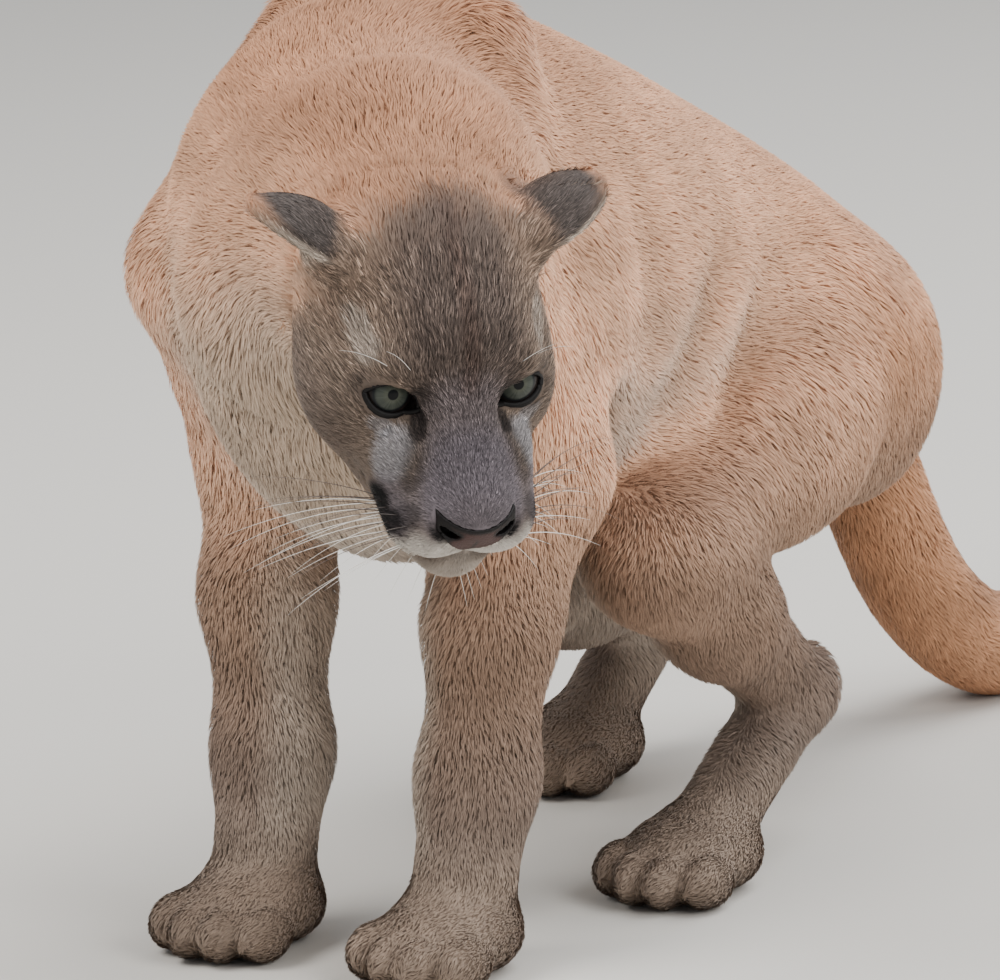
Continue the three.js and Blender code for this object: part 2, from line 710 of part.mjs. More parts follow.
function lipShape(raise, floorLevel) {
  const shape = new THREE.Shape();
  const reach = 90;
  const steps = 16;
  for (let i = 0; i <= steps; i++) {
    const across = -reach + (2 * reach * i) / steps;
    const wave = Math.sin(Math.min(1, Math.abs(across) / 34) * Math.PI) ** 2;
    const level = mouth.level - mouth.droop * wave + raise;
    if (i === 0) shape.moveTo(across, level);
    else shape.lineTo(across, level);
  }
  if (floorLevel === undefined) return shape;
  shape.lineTo(reach, floorLevel);
  shape.lineTo(-reach, floorLevel);
  shape.closePath();
  return shape;
}

function lipGroove() {
  const upper = lipShape(mouth.groove, -200);
  const lower = lipShape(-mouth.groove, -200);
  const band = headExtrusion(upper, mouth.back, 90).subtract(headExtrusion(lower, mouth.back, 90));
  const [low, high] = around([headPoint([40, 0, -60])], 90);
  const core = surfaceSolid((x, y, z) => body(x, y, z) + mouth.grooveDepth, low, high, 8);
  return band.subtract(core);
}

function noseShape(extra) {
  const { top, point, half } = nose;
  const shape = new THREE.Shape();
  shape.moveTo(-half - extra, top - 5);
  shape.quadraticCurveTo(0, top + 7 + extra, half + extra, top - 5);
  shape.quadraticCurveTo(half + extra, top - 14, 9 + extra, point + 8);
  shape.quadraticCurveTo(4, point, 0, point - extra);
  shape.quadraticCurveTo(-4, point, -9 - extra, point + 8);
  shape.quadraticCurveTo(-half - extra, top - 14, -half - extra, top - 5);
  return shape;
}

function nostril(side) {
  const sphere = new THREE.SphereGeometry(1, 10, 6);
  const inner = headPoint([74, side * nose.nostril[0], nose.nostril[1]]);
  const frame = new THREE.Matrix4().makeBasis(
    headForward.clone().multiplyScalar(9),
    headLeft.clone().multiplyScalar(5.5 * side).addScaledVector(headUp, 1.6),
    headUp.clone().multiplyScalar(3.6 * side),
  );
  if (frame.determinant() < 0) frame.scale(new THREE.Vector3(1, 1, -1));
  return solidOf(sphere.applyMatrix4(frame.setPosition(...inner)));
}

const headLow = headOrigin.clone().addScalar(-210).toArray();
const headHigh = headOrigin.clone().addScalar(210).toArray();
const muzzleBox = around([headPoint([40, 0, -50])], 88);
const raised = (x, y, z) => body(x, y, z) - nose.rise;
const noseBox = around([headPoint([68, 0, -42])], 40);
const noseLeather = largest(
  surfaceSolid(raised, ...noseBox, 6.5)
    .intersect(headExtrusion(noseShape(0), nose.front, 60))
    .subtract(nostril(1))
    .subtract(nostril(-1)),
);
const noseRoom = headExtrusion(noseShape(gap), nose.front - gap, 60);
const jawSpace = headExtrusion(lipShape(-gap, -200), mouth.back, 120);
const jawRoom = headExtrusion(lipShape(0, -200), mouth.back - gap, 120);
const groove = lipGroove();
const muzzleWhole = surfaceSolid(body, ...muzzleBox, 9.63);
const muzzle = largest(
  muzzleWhole
    .intersect(region(regions.muzzle, 0))
    .subtract(jawRoom)
    .subtract(noseRoom)
    .subtract(groove),
);
const jaw = largest(
  muzzleWhole
    .intersect(jawSpace)
    .intersect(region([nape], 0))
    .subtract(groove),
);

const [eyeLeft, eyeRight] = [1, -1].map(eyeTools);
let face = surfaceSolid(body, ...around([headPoint([-5, 0, -15])], 105), 9.88)
  .intersect(region(regions.face, 0))
  .subtract(region(regions.muzzle, gap))
  .subtract(jawRoom);
for (const { opening, ball } of [eyeLeft, eyeRight])
  face = face.subtract(opening).subtract(ball(gap));

addPiece("face", largest(face), coat.face);
addPiece("muzzle", muzzle, coat.muzzle);
addPiece("lower_jaw", jaw, coat.chin);
addPiece("nose", noseLeather, leather, "leather");
addPiece("eye_left", eyeLeft.ball(0), iris, "eye");
addPiece("eye_right", eyeRight.ball(0), iris, "eye");

addPiece("crown", cutOut("crown", headLow, headHigh, 16), coat.face);
for (const one of ears) {
  const name = one.side > 0 ? "ear_left" : "ear_right";
  addPiece(name, largest(earCup(one).intersect(region(regions[name], 0))), coat.ear);
}

// Neck, torso and tail
addPiece("neck", cutOut("neck", [-150, -330, 330], [270, 90, 750], 26.5), coat.side);
addPiece("chest", cutOut("chest", [-200, -260, 190], [220, 190, 680], 34), coat.side);
addPiece("belly", cutOut("belly", [-200, 60, 170], [220, 410, 680], 34), coat.side);
addPiece("hips", cutOut("hips", [-200, 300, 150], [220, 700, 620], 32.38), coat.back);
addPiece("tail_base", cutOut("tail_base", [-80, 540, -30], [120, 830, 400], 22.26), coat.tail);
addPiece("tail_middle", cutOut("tail_middle", [-80, 730, -30], [120, 1040, 90], 20), coat.tail);
addPiece("tail_tip", cutOut("tail_tip", [-120, 930, -30], [90, 1240, 90], 18.22), coat.tailTip);

// Legs
for (const [side, name] of sides) {
  const sideBox = (yLow, yHigh, zLow, zHigh) => [
    [side > 0 ? 10 : -220, yLow, zLow],
    [side > 0 ? 220 : -10, yHigh, zHigh],
  ];
  const cut = (piece, box, cell, color) =>
    addPiece(`${piece}_${name}`, cutOut(`${piece}_${name}`, ...box, cell), color);
  cut("shoulder", sideBox(-200, 170, 270, 680), 30, coat.side);
  cut("foreleg", sideBox(-130, 170, 60, 360), 24, coat.leg);
  cut("forepaw", sideBox(-150, 80, -20, 130), 16, coat.leg);
  const { knee, hock, pawCentre } = hindLegs[name];
  cut("thigh", sideBox(knee[1] - 110, 640, 90, 600), 28.6, coat.back);
  cut("shank", sideBox(knee[1] - 80, hock[1] + 90, 40, 330), 23, coat.leg);
  cut("hind_foot", sideBox(pawCentre[1] - 110, hock[1] + 80, -20, 170), 17, coat.leg);
}

export default cougar;
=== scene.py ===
"""Cougar, a still life-size model in a low stalking stance: its skin, coat, face and whiskers.

The skin is one closed surface, worked out from the same rounded shapes as the solids and
drawn in by the depth of the coat. Shapes are in millimetres, counted from the point on the
floor between the forepaws, and turned to metres when a mesh is made.
"""
import math

import bpy
import numpy as np
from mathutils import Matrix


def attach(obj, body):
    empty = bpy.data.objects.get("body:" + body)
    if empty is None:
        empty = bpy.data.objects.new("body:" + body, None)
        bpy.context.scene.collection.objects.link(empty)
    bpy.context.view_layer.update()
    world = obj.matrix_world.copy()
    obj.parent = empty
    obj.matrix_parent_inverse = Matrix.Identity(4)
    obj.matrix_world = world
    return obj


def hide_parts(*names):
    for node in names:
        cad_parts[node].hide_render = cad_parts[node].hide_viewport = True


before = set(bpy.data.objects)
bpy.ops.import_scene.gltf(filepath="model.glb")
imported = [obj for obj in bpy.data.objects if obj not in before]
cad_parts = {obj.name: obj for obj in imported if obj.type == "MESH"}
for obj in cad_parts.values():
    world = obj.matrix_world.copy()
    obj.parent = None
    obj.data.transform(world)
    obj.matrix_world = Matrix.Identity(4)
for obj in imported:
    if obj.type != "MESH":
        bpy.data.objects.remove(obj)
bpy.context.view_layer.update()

bl_info = {
    "name": "Stalking cougar",
    "version": (1, 0, 0),
    "blender": (4, 5, 0),
    "location": "View3D > Sidebar > Cougar",
    "description": "Skin, coat, face and whiskers of a life-size cougar model",
    "category": "Object",
}

METRE = 0.001  # one millimetre in metres
STAND = np.array([29.13, 462.82, 0.0])
SEED = 7
BODY_ROOM = ((-190, -300, -12), (250, 1230, 640))
HEAD_REACH = 150
HEAD_LOW = 270  # no part of the head hangs lower than this over the floor
SOLE = 0.4  # the skin's height over the floor under the paws
EYE_DEPTH = 14  # how far the eye openings are cut in behind the line of their corners

TORSO = {
    "y": [-135, -80, 0, 90, 210, 330, 440, 530, 585],
    "x": [8, 5, 2, 0, 0, 0, 0, 0, 0],
    "top": [500, 566, 602, 592, 550, 500, 450, 398, 346],
    "bottom": [372, 292, 246, 234, 226, 218, 218, 228, 244],
    "half": [62, 96, 114, 126, 131, 123, 114, 94, 58],
}
TORSO_CAP = 42
NECK = [((8, -22, 478), 112), ((72, -100, 486), 88), ((130, -172, 468), 70)]
FORELEG = [
    ((58, 30, 572), 34), ((88, -44, 430), 50), ((94, 34, 306), 47),
    ((84, 2, 215), 40), ((80, -8, 118), 35), ((80, -26, 46), 33),
]
FOREPAW = (80, -44, 26)
LEAN = {"left": 0, "right": 16}
HIND = {
    "left": dict(hip=(74, 396, 322), knee=(118, 152, 236), hock=(113, 348, 104),
                 toe=(113, 232, 36), paw=(113, 208, 26)),
    "right": dict(hip=(-74, 416, 320), knee=(-100, 336, 160), hock=(-98, 546, 104),
                  toe=(-98, 452, 36), paw=(-98, 430, 26)),
}
HIND_RADII = dict(hip=88, thigh=84, knee=46, calf=44, shank=34, hock=26, foot=27)
PAW = dict(length=120, width=96, height=54, toes=4, toe=(15, 27, 19))
TAIL = [
    ((0, 556, 326), 42), ((3, 616, 246), 37), ((10, 662, 164), 34), ((20, 708, 92), 33),
    ((30, 774, 44), 32.5), ((31, 850, 30.8), 32), ((10, 985, 29.6), 31),
    ((-22, 1110, 27.8), 29.5), ((-46, 1180, 25), 27),
]

# The head's own frame: origin midway between the irises, then forward, left and up
HEAD_TURN = math.radians(53)
HEAD_DIP = math.radians(38)
HEAD_ORIGIN = np.array([185.0, -215.0, 411.0])
HEAD_FORWARD = np.array([
    math.sin(HEAD_TURN) * math.cos(HEAD_DIP),
    -math.cos(HEAD_TURN) * math.cos(HEAD_DIP),
    -math.sin(HEAD_DIP),
])
HEAD_LEFT = np.array([math.cos(HEAD_TURN), math.sin(HEAD_TURN), 0.0])
HEAD_UP = np.cross(HEAD_FORWARD, HEAD_LEFT)
HEAD_AXES = np.array([HEAD_FORWARD, HEAD_LEFT, HEAD_UP])

EYE = dict(radius=17, centre=(-10, 40, -6), inner=(8, 24, -7), outer=(-6, 55, -1),
           above=13, below=7.8, lid=3.2)
GAZE = (0.82, -0.10, 0.56)
EAR = dict(base=(-80, 54, 34), axis=(-0.35, 0.85, 0.4), opening=(0.35, 0.52, -0.78),
           length=62, width=56, depth=17, wall=7)
NOSE = dict(front=58, top=-37, point=-60, half=25, rise=0.8, nostril=(17, -42))
MOUTH = dict(level=-68, droop=4, back=8)

FLOOR_HALF = 6000.0
# Studio lights: name, place in metres, power in watts, size in metres and tint
LIGHTS = (
    ("key", (-1.6, -2.6, 3.4), 150, 2.2, (1, 0.97, 0.93)),
    ("fill", (3.4, -1.2, 2.4), 105, 2.6, (1, 0.98, 0.95)),
    ("top", (0.9, 0.7, 3.4), 120, 2.8, (1, 1, 1)),
    ("back", (0.5, 3.6, 2.4), 60, 2.4, (1, 1, 1)),
)
CAMERA = dict(azimuth=30, elevation=12, distance=5000, focal=306, sensor=36, right=26.5, up=-60)


class CougarSettings(bpy.types.PropertyGroup):
    """Sizes and colours that change the coat."""

    body_cell: bpy.props.FloatProperty(
        name="Body mesh", description="Grid spacing of the body's skin",
        default=0.0065, min=0.004, max=0.02, subtype="DISTANCE", precision=4)
    head_cell: bpy.props.FloatProperty(
        name="Head mesh", description="Grid spacing of the head's skin",
        default=0.0026, min=0.0015, max=0.01, subtype="DISTANCE", precision=4)
    coat_depth: bpy.props.FloatProperty(
        name="Coat depth", description="How far the body's skin lies under the coat",
        default=0.0036, min=0.001, max=0.012, subtype="DISTANCE", precision=4)
    tufts: bpy.props.IntProperty(
        name="Tufts", description="Number of tufts in the whole coat", default=480000, min=1000)
    back: bpy.props.FloatVectorProperty(
        name="Back", description="Colour along the back", subtype="COLOR", size=3,
        default=(0.45, 0.225, 0.125))
    flank: bpy.props.FloatVectorProperty(
        name="Flank", description="Colour along the sides", subtype="COLOR", size=3,
        default=(0.78, 0.46, 0.29))


def linear(code):
    """sRGB hex colour as linear red, green and blue."""
    values = np.array([int(code[i:i + 2], 16) for i in (1, 3, 5)]) / 255
    return np.where(values <= 0.04045, values / 12.92, ((values + 0.055) / 1.055) ** 2.4)


def ramp(value, low, high):
    """Smooth step from 0 at low to 1 at high."""
    t = np.clip((value - low) / (high - low), 0, 1)
    return t * t * (3 - 2 * t)


def unit(vectors):
    """Vectors scaled to length one."""
    return vectors / np.maximum(np.linalg.norm(vectors, axis=-1, keepdims=True), 1e-9)


def head_point(place, side=1):
    """A place in the head's frame, mirrored for side -1, in millimetres."""
    forward, left, up = place
    return HEAD_ORIGIN + forward * HEAD_FORWARD + side * left * HEAD_LEFT + up * HEAD_UP


def head_direction(place, side=1):
    """A direction in the head's frame as a unit vector."""
    return unit(np.array([place[0], side * place[1], place[2]]) @ HEAD_AXES)


def in_head(points):
    """Points as forward, left and up distances in the head's frame."""
    return (points - HEAD_ORIGIN) @ HEAD_AXES.T


def between(a, b, t):
    """The point a share t of the way from a to b."""
    return np.asarray(a, float) + (np.asarray(b, float) - np.asarray(a, float)) * t


def limb(a, radius_a, b, radius_b):
    """Distance to a straight length whose radius runs evenly from one round end to the other."""
    a = np.asarray(a, np.float32)
    along = np.asarray(b, np.float32) - a
    length_squared = along @ along

    def distance(points):
        offset = points - a
        t = np.clip(offset @ along / length_squared, 0, 1)
        away = np.sqrt(((offset - t[:, None] * along) ** 2).sum(1))
        return away - (radius_a + (radius_b - radius_a) * t)

    return distance


def scaled_distance(near, slope):
    """Distance from a scaled radius k and its slope: k(k - 1) / |slope|."""
    return near * (near - 1) / np.maximum(slope, 1e-6)


def egg(centre, sizes, axes=None):
    """Distance to an egg with three half sizes, turned to the given axes."""
    centre = np.asarray(centre, np.float32)
    sizes = np.asarray(sizes, np.float32)
    turn = None if axes is None else np.asarray(axes, np.float32).T

    def distance(points):
        offset = points - centre
        if turn is not None:
            offset = offset @ turn
        scaled = offset / sizes
        near = np.sqrt((scaled ** 2).sum(1))
        slope = np.sqrt(((scaled / sizes) ** 2).sum(1))
        return scaled_distance(near, slope)

    return distance


def cubic(t, a, slope_a, b, slope_b):
    """The cubic from a to b as t goes from 0 to 1, with the slopes at its ends."""
    return ((2 * t ** 3 - 3 * t ** 2 + 1) * a + (t ** 3 - 2 * t ** 2 + t) * slope_a
            + (3 * t ** 2 - 2 * t ** 3) * b + (t ** 3 - t ** 2) * slope_b)


def section_curve(key):
    """A cubic through the torso's named sizes, level slopes taken from the neighbours."""
    knots = np.array(TORSO["y"], float)
    values = np.array(TORSO[key], float)
    last = len(knots) - 1
    before = np.maximum(np.arange(last + 1) - 1, 0)
    after = np.minimum(np.arange(last + 1) + 1, last)
    slopes = (values[after] - values[before]) / (knots[after] - knots[before])

    def curve(y):
        held = np.clip(y, knots[0], knots[-1])
        i = np.clip(np.searchsorted(knots, held) - 1, 0, last - 1)
        span = knots[i + 1] - knots[i]
        t = (held - knots[i]) / span
        return cubic(t, values[i], slopes[i] * span, values[i + 1], slopes[i + 1] * span)

    return curve


SECTION = {key: section_curve(key) for key in ("x", "top", "bottom", "half")}


def torso(points):
    """Distance to the torso: an upright oval that changes along the back, round at both ends."""
    y = points[:, 1]
    centre, top, bottom, half = (SECTION[key](y) for key in ("x", "top", "bottom", "half"))
    high = (top - bottom) / 2
    past = np.maximum(0, np.maximum(TORSO["y"][0] - y, y - TORSO["y"][-1]))
    parts = ((points[:, 0] - centre) / half, (points[:, 2] - (top + bottom) / 2) / high,
             past / TORSO_CAP)
    near = np.sqrt(sum(part ** 2 for part in parts))
    slope = np.sqrt((parts[0] / half) ** 2 + (parts[1] / high) ** 2 + (parts[2] / TORSO_CAP) ** 2)
    return scaled_distance(near, slope)


def join(a, b, softness):
    """Two distances joined: the lesser, less softness / 4 times the square of their overlap."""
    overlap = np.maximum(softness - np.abs(a - b), 0) / softness
    return np.minimum(a, b) - overlap ** 2 * softness * 0.25


def ear_frame(side):
    """Middle of the cup, and the directions along the ear, out of its cup and across it."""
    axis = head_direction(EAR["axis"], side)
    opening = head_direction(EAR["opening"], side)
    opening = unit(opening - axis * (opening @ axis))
    base = head_point(EAR["base"], side)
    return base, base + axis * EAR["length"] * 0.42, axis, opening, np.cross(opening, axis)


def ear_cup(side):
    """Distance to a shell of even wall on the bowl o = -depth (1 - r^2), r scaled to its rim."""
    _, middle, axis, opening, across = ear_frame(side)
    wide, long = EAR["width"] / 2, EAR["length"] * 0.6

    def distance(points):
        offset = points - middle
        w, o, a = offset @ across, offset @ opening, offset @ axis
        r = np.sqrt((w / wide) ** 2 + (a / long) ** 2)
        inside = np.minimum(r, 1)
        height = o + EAR["depth"] * (1 - inside ** 2)
        steep = 1 + (2 * EAR["depth"] * inside / wide) ** 2
        beyond = np.maximum(r - 1, 0) * wide
        return np.sqrt(beyond ** 2 + height ** 2 / steep) - EAR["wall"] / 2

    return distance


def smooth_line(stops, steps):
    """Stops on a cubic through the given stops, its slopes those of their neighbours."""
    table = np.array([[*place, radius] for place, radius in stops], float)
    slopes = np.gradient(table, axis=0)
    fine = []
    for i in range(len(table) - 1):
        for t in np.arange(steps) / steps:
            fine.append(cubic(t, table[i], slopes[i], table[i + 1], slopes[i + 1]))
    fine.append(table[-1])
    return [(row[:3], row[3]) for row in fine]


def flesh_shapes():
    """Every rounded shape with the softness of its joint, by the part of the body it is in."""
    shapes = []

    def add(part, shape, softness):
        shapes.append((part, shape, softness))

    def line(part, stops, softness):
        for (a, radius_a), (b, radius_b) in zip(stops, stops[1:]):
            add(part, limb(a, radius_a, b, radius_b), softness)

    def paw(part, centre, reach):
        x, y, z = centre
        length, width = PAW["length"], PAW["width"]
        add(part, egg((x, y + reach * 0.3, z), (width * 0.44, length * 0.42, PAW["height"] / 2)), 16)
        add(part, egg((x, y + 22, z - 6), (width * 0.36, 30, 22)), 14)
        for i in range(PAW["toes"]):
            across = (i - (PAW["toes"] - 1) / 2) / ((PAW["toes"] - 1) / 2)
            forward = 64 - 15 * across * across
            add(part, egg((x + across * width * 0.335, y - forward + 14, 19), PAW["toe"]), 7)

    add("torso", torso, 1)
    line("neck", NECK, 45)
    add("torso", egg((30, -80, 400), (66, 62, 74)), 40)
    for side, name in ((1, "left"), (-1, "right")):
        part = f"foreleg_{name}"
        elbow = FORELEG[2][0][2]

        def leant(place):
            x, y, z = place
            below = max(0, 1 - z / elbow) / (1 - FOREPAW[2] / elbow)
            return side * (x - LEAN[name] * below), y, z

        line(part, [(leant(place), radius) for place, radius in FORELEG], 24)
        add(part, egg((side * 86, 42, 400), (43, 74, 88)), 40)
        paw(part, leant(FOREPAW), -4)
    for name, leg in HIND.items():
        part = f"hindleg_{name}"
        hip, knee, hock = leg["hip"], leg["knee"], leg["hock"]
        out = math.copysign(1, hip[0])
        thigh = between(hip, knee, 0.42) + (0, 26, 0)
        r = HIND_RADII
        add(part, limb(hip, r["hip"], thigh, r["thigh"] - 6), 45)
        add(part, limb(thigh, r["thigh"] - 12, knee, r["knee"]), 40)
        add(part, egg((hip[0] + out * 8, hip[1] + 80, hip[2] - 36), (56, 88, 84)), 50)
        add(part, limb(knee, r["calf"], between(knee, hock, 0.45), r["shank"] + 6), 30)
        add(part, limb(between(knee, hock, 0.4), r["shank"] + 4, hock, r["hock"]), 22)
        add(part, egg((hock[0], hock[1] + 16, hock[2] + 6), (19, 20, 24)), 16)
        add(part, limb(hock, r["hock"], leg["toe"], r["foot"]), 18)
        paw(part, leg["paw"], 4)
    line("tail", smooth_line(TAIL, 3), 16)

    def head_egg(centre, sizes, softness, sides=(1, -1)):
        for side in sides:
            add("head", egg(head_point(centre, side), sizes, HEAD_AXES), softness)

    head_egg((-58, 0, 10), (66, 60, 50), 22, (1,))
    head_egg((-40, 45, -26), (52, 33, 44), 22)
    head_egg((-24, 0, 18), (34, 42, 26), 18, (1,))
    head_egg((-9, 31, 15), (17, 20, 11), 12)
    add("head", limb(head_point((-8, 0, 3)), 24, head_point((57, 0, -31)), 19), 16)
    head_egg((30, 0, -48), (40, 38, 30), 20, (1,))
    head_egg((18, 26, -42), (34, 26, 28), 14)
    head_egg((48, 20, -54), (29, 27, 23), 10)
    head_egg((60, 0, -41), (17, 20, 15), 10, (1,))
    head_egg((48, 0, -81), (24, 24, 19), 12, (1,))
    for side in (1, -1):
        add("head", limb(head_point((-42, 34, -66), side), 22, head_point((28, 13, -77), side), 17), 20)
        add("head", egg(head_point(EYE["centre"], side), [EYE["radius"] + EYE["lid"]] * 3), 6)
        base, _, axis, opening, across = ear_frame(side)
        add("head", egg(base + axis * 4, (22, 19, 25), (axis, opening, across)), 14)
    for side in (1, -1):
        add("head", ear_cup(side), 6)
    return shapes


SHAPES = flesh_shapes()
PARTS = ["head", "neck", "torso", "foreleg_left", "foreleg_right", "hindleg_left",
         "hindleg_right", "tail"]


def body(points):
    """Distance to the whole outer form, out to the tips of the coat."""
    points = points.astype(np.float32)
    total = None
    for _, shape, softness in SHAPES:
        value = shape(points)
        total = value if total is None else join(total, value, softness)
    return total


def head_share(points):
    """1 on the head, 0 well behind it."""
    return 1 - ramp(np.linalg.norm(points - head_point((-20, 0, -10)), axis=1), 105, 165)


def near_ears(points):
    """1 on the ears, 0 away from them."""
    share = np.zeros(len(points))
    for side in (1, -1):
        _, middle, axis, _, _ = ear_frame(side)
        offset = points - middle
        away = np.linalg.norm(offset - 0.35 * (offset @ axis)[:, None] * axis, axis=1)
        share = np.maximum(share, (1 - ramp(away, 34, 44)) * ramp(offset @ axis, -26, -6))
    return share


def near_nose(points):
    """1 on the nose leather and the lips beside it, 0 away from them."""
    return 1 - ramp(np.linalg.norm(points - head_point((70, 0, -48)), axis=1), 20, 42)


def coat_depth(points, body_depth):
    """Depth of the coat over the skin: thin on the face and paws, next to none on the ears."""
    low = 1 - ramp(points[:, 2], 60, 190)
    head = head_share(points)
    depth = body_depth * (1 - 0.62 * head) * (1 - 0.6 * low)
    return depth * (1 - 0.92 * near_ears(points)) * (1 - 0.7 * near_nose(points))


# Creases in the skin: two ends, half width and depth; the first group is in the head's
# frame and stands on both sides
HEAD_CREASES = [
    ((10, 21, -8), (34, 24, -34), 4.5, 1.6),
    ((-2, 30, 10), (14, 18, 2), 4.0, 1.4),
    ((-4, 60, -3), (-26, 68, 6), 4.0, 1.0),
    ((8, 46, -24), (-12, 60, -18), 3.5, 0.8),
    ((30, 44, -34), (14, 50, -56), 5.0, 1.2),
    ((70, 0, -55), (69, 0, -66), 1.6, 2.2),
    ((-18, 0, 46), (14, 0, 22), 6.0, 0.9),
    ((-70, 30, 44), (-46, 26, 44), 6.0, 0.8),
]
BODY_CREASES = [
    ((134, 250, 470), (122, 160, 330), 17, 6),
    ((138, 300, 430), (112, 200, 280), 13, 5),
    ((128, 120, 520), (134, 130, 380), 20, 5),
    ((112, 96, 340), (60, 84, 250), 16, 7),
    ((-112, 96, 340), (-60, 84, 250), 16, 7),
    ((60, -96, 560), (116, -70, 470), 17, 5),
    ((110, 8, 500), (118, 64, 400), 15, 4),
    ((-110, 0, 500), (-118, 64, 400), 15, 4),
    ((96, 46, 256), (80, 44, 240), 9, 3),
    ((126, 320, 300), (110, 290, 240), 12, 4),
]


CREASE_DARK = 6  # depth of a crease at which the painted shade along it is at full strength


def creased(points):
    """Depth of the creases: depth e^-(d / width)^2, d the distance to the line of each."""
    total = np.zeros(len(points))
    lines = [(a, b, width, depth) for a, b, width, depth in BODY_CREASES]
    for a, b, width, depth in HEAD_CREASES:
        lines += [(head_point(a, side), head_point(b, side), width, depth)
                  for side in ((1, -1) if a[1] else (1,))]
    for a, b, width, depth in lines:
        away = limb(a, 0, b, 0)(points)
        total = total + depth * np.exp(-(away / width) ** 2)
    return total


def mouth_level(left):
    """Height of the mouth line over the head's frame at a distance to the left."""
    wave = np.sin(np.minimum(1, np.abs(left) / 34) * np.pi) ** 2
    return MOUTH["level"] - MOUTH["droop"] * wave + 6 * ramp(np.abs(left), 18, 46)


def mouth_groove(points):
    """Depth of the closed mouth: 3.4 e^-(height off its line / 1.7)^2 along the lips."""
    forward, left, up = in_head(points).T
    along = ramp(forward, MOUTH["back"] - 4, MOUTH["back"] + 10) * (forward < 95)
    return 3.4 * along * np.exp(-((up - mouth_level(left)) / 1.7) ** 2)


NAPE = (head_point((-84, 0, -20)), head_direction((0.88, -0.243, 0.407)))


def skin_distance(points):
    """Distance to the skin under the coat, with its creases and the line of the mouth."""
    depth = bpy.context.scene.cougar.coat_depth / METRE
    forward = in_head(points)[:, 0]
    under = (1 - ramp(nose_outline(points), -3.5, -0.5)) * (forward > 45) * (forward < 95)
    return (body(points) + coat_depth(points, depth) + creased(points) + mouth_groove(points)
            + 3.5 * under)


def socket(side):
    """Middle, axes and half width of one eye opening: across, up and outward."""
    inner, outer = head_point(EYE["inner"], side), head_point(EYE["outer"], side)
    across = unit(outer - inner)
    facing = head_direction((0.9, 0.4, 0.17), side)
    facing = unit(facing - across * (facing @ across))
    up = HEAD_UP - across * (HEAD_UP @ across)
    up = unit(up - facing * (up @ facing))
    return (inner + outer) / 2, across, up, facing, np.linalg.norm(outer - inner) / 2


def in_socket(points, side):
    """Points as distances across, up and outward from the middle of an eye opening."""
    middle, across, up, facing, half = socket(side)
    offset = points - middle
    return offset @ across, offset @ up, offset @ facing, half


def lid_height(a, b, half, margin):
    """Height of the opening's edge at a across, over or under its middle as b says."""
    reach = np.where(b > 0, EYE["above"], EYE["below"]) + margin
    return np.sqrt(np.clip(1 - (a / (half + margin)) ** 2, 0, 1)) ** 1.35 * reach


def almond(angle, half):
    """Outline of the eye opening: across is half cos, up is reach sin |sin|^0.35."""
    sine = np.sin(angle)
    reach = np.where(sine > 0, EYE["above"], EYE["below"])
    return half * np.cos(angle), reach * sine * np.abs(sine) ** 0.35


def eye_opening(points):
    """Negative inside the almond opening in front of an eyeball."""
    total = np.full(len(points), 1e9, np.float32)
    for side in (1, -1):
        a, b, c, half = in_socket(points, side)
        inside = np.maximum(np.abs(b) - lid_height(a, b, half, 0), np.abs(a) - half)
        total = np.minimum(total, np.maximum(inside, -c - EYE_DEPTH))
    return total


def head_skin(points):
    """The head in front of the nape, its eye openings cut."""
    nape_point, nape_way = NAPE
    behind = -((points - nape_point) @ nape_way) - 18
    solid = np.maximum(skin_distance(points), behind)
    return np.maximum(solid, -eye_opening(points))


def body_skin(points):
    """The rest of the body behind the nape, with flat soles at floor level."""
    nape_point, nape_way = NAPE
    ahead = np.minimum((points - nape_point) @ nape_way - 8, points[:, 2] - HEAD_LOW)
    solid = np.maximum(skin_distance(points) + 0.5, ahead)
    return np.maximum(solid, SOLE - points[:, 2])


def sample_grid(distance, low, counts, cell):
    """Distances on a grid, worked out point by point only in blocks near the surface."""
    size = 8
    blocks = (np.array(counts) + size - 1) // size
    steps = np.stack(np.meshgrid(*[np.arange(n) for n in blocks], indexing="ij"), -1).reshape(-1, 3)
    middles = low + (steps * size + (size - 1) / 2) * cell
    rough = distance(middles)
    values = np.empty(blocks * size, np.float32)
    shaped = values.reshape(blocks[0], size, blocks[1], size, blocks[2], size)
    shaped[:] = rough.reshape(blocks)[:, None, :, None, :, None]
    inner = np.stack(np.meshgrid(*[np.arange(size)] * 3, indexing="ij"), -1).reshape(-1, 3)
    near = np.abs(rough) < size * cell * 1.25 + 12
    chosen = steps[near]
    for start in range(0, len(chosen), 400):
        part = chosen[start:start + 400]
        grid = (part[:, None] * size + inner).reshape(-1, 3)
        found = distance(low + grid * cell)
        values[tuple(grid.T)] = found
    return values


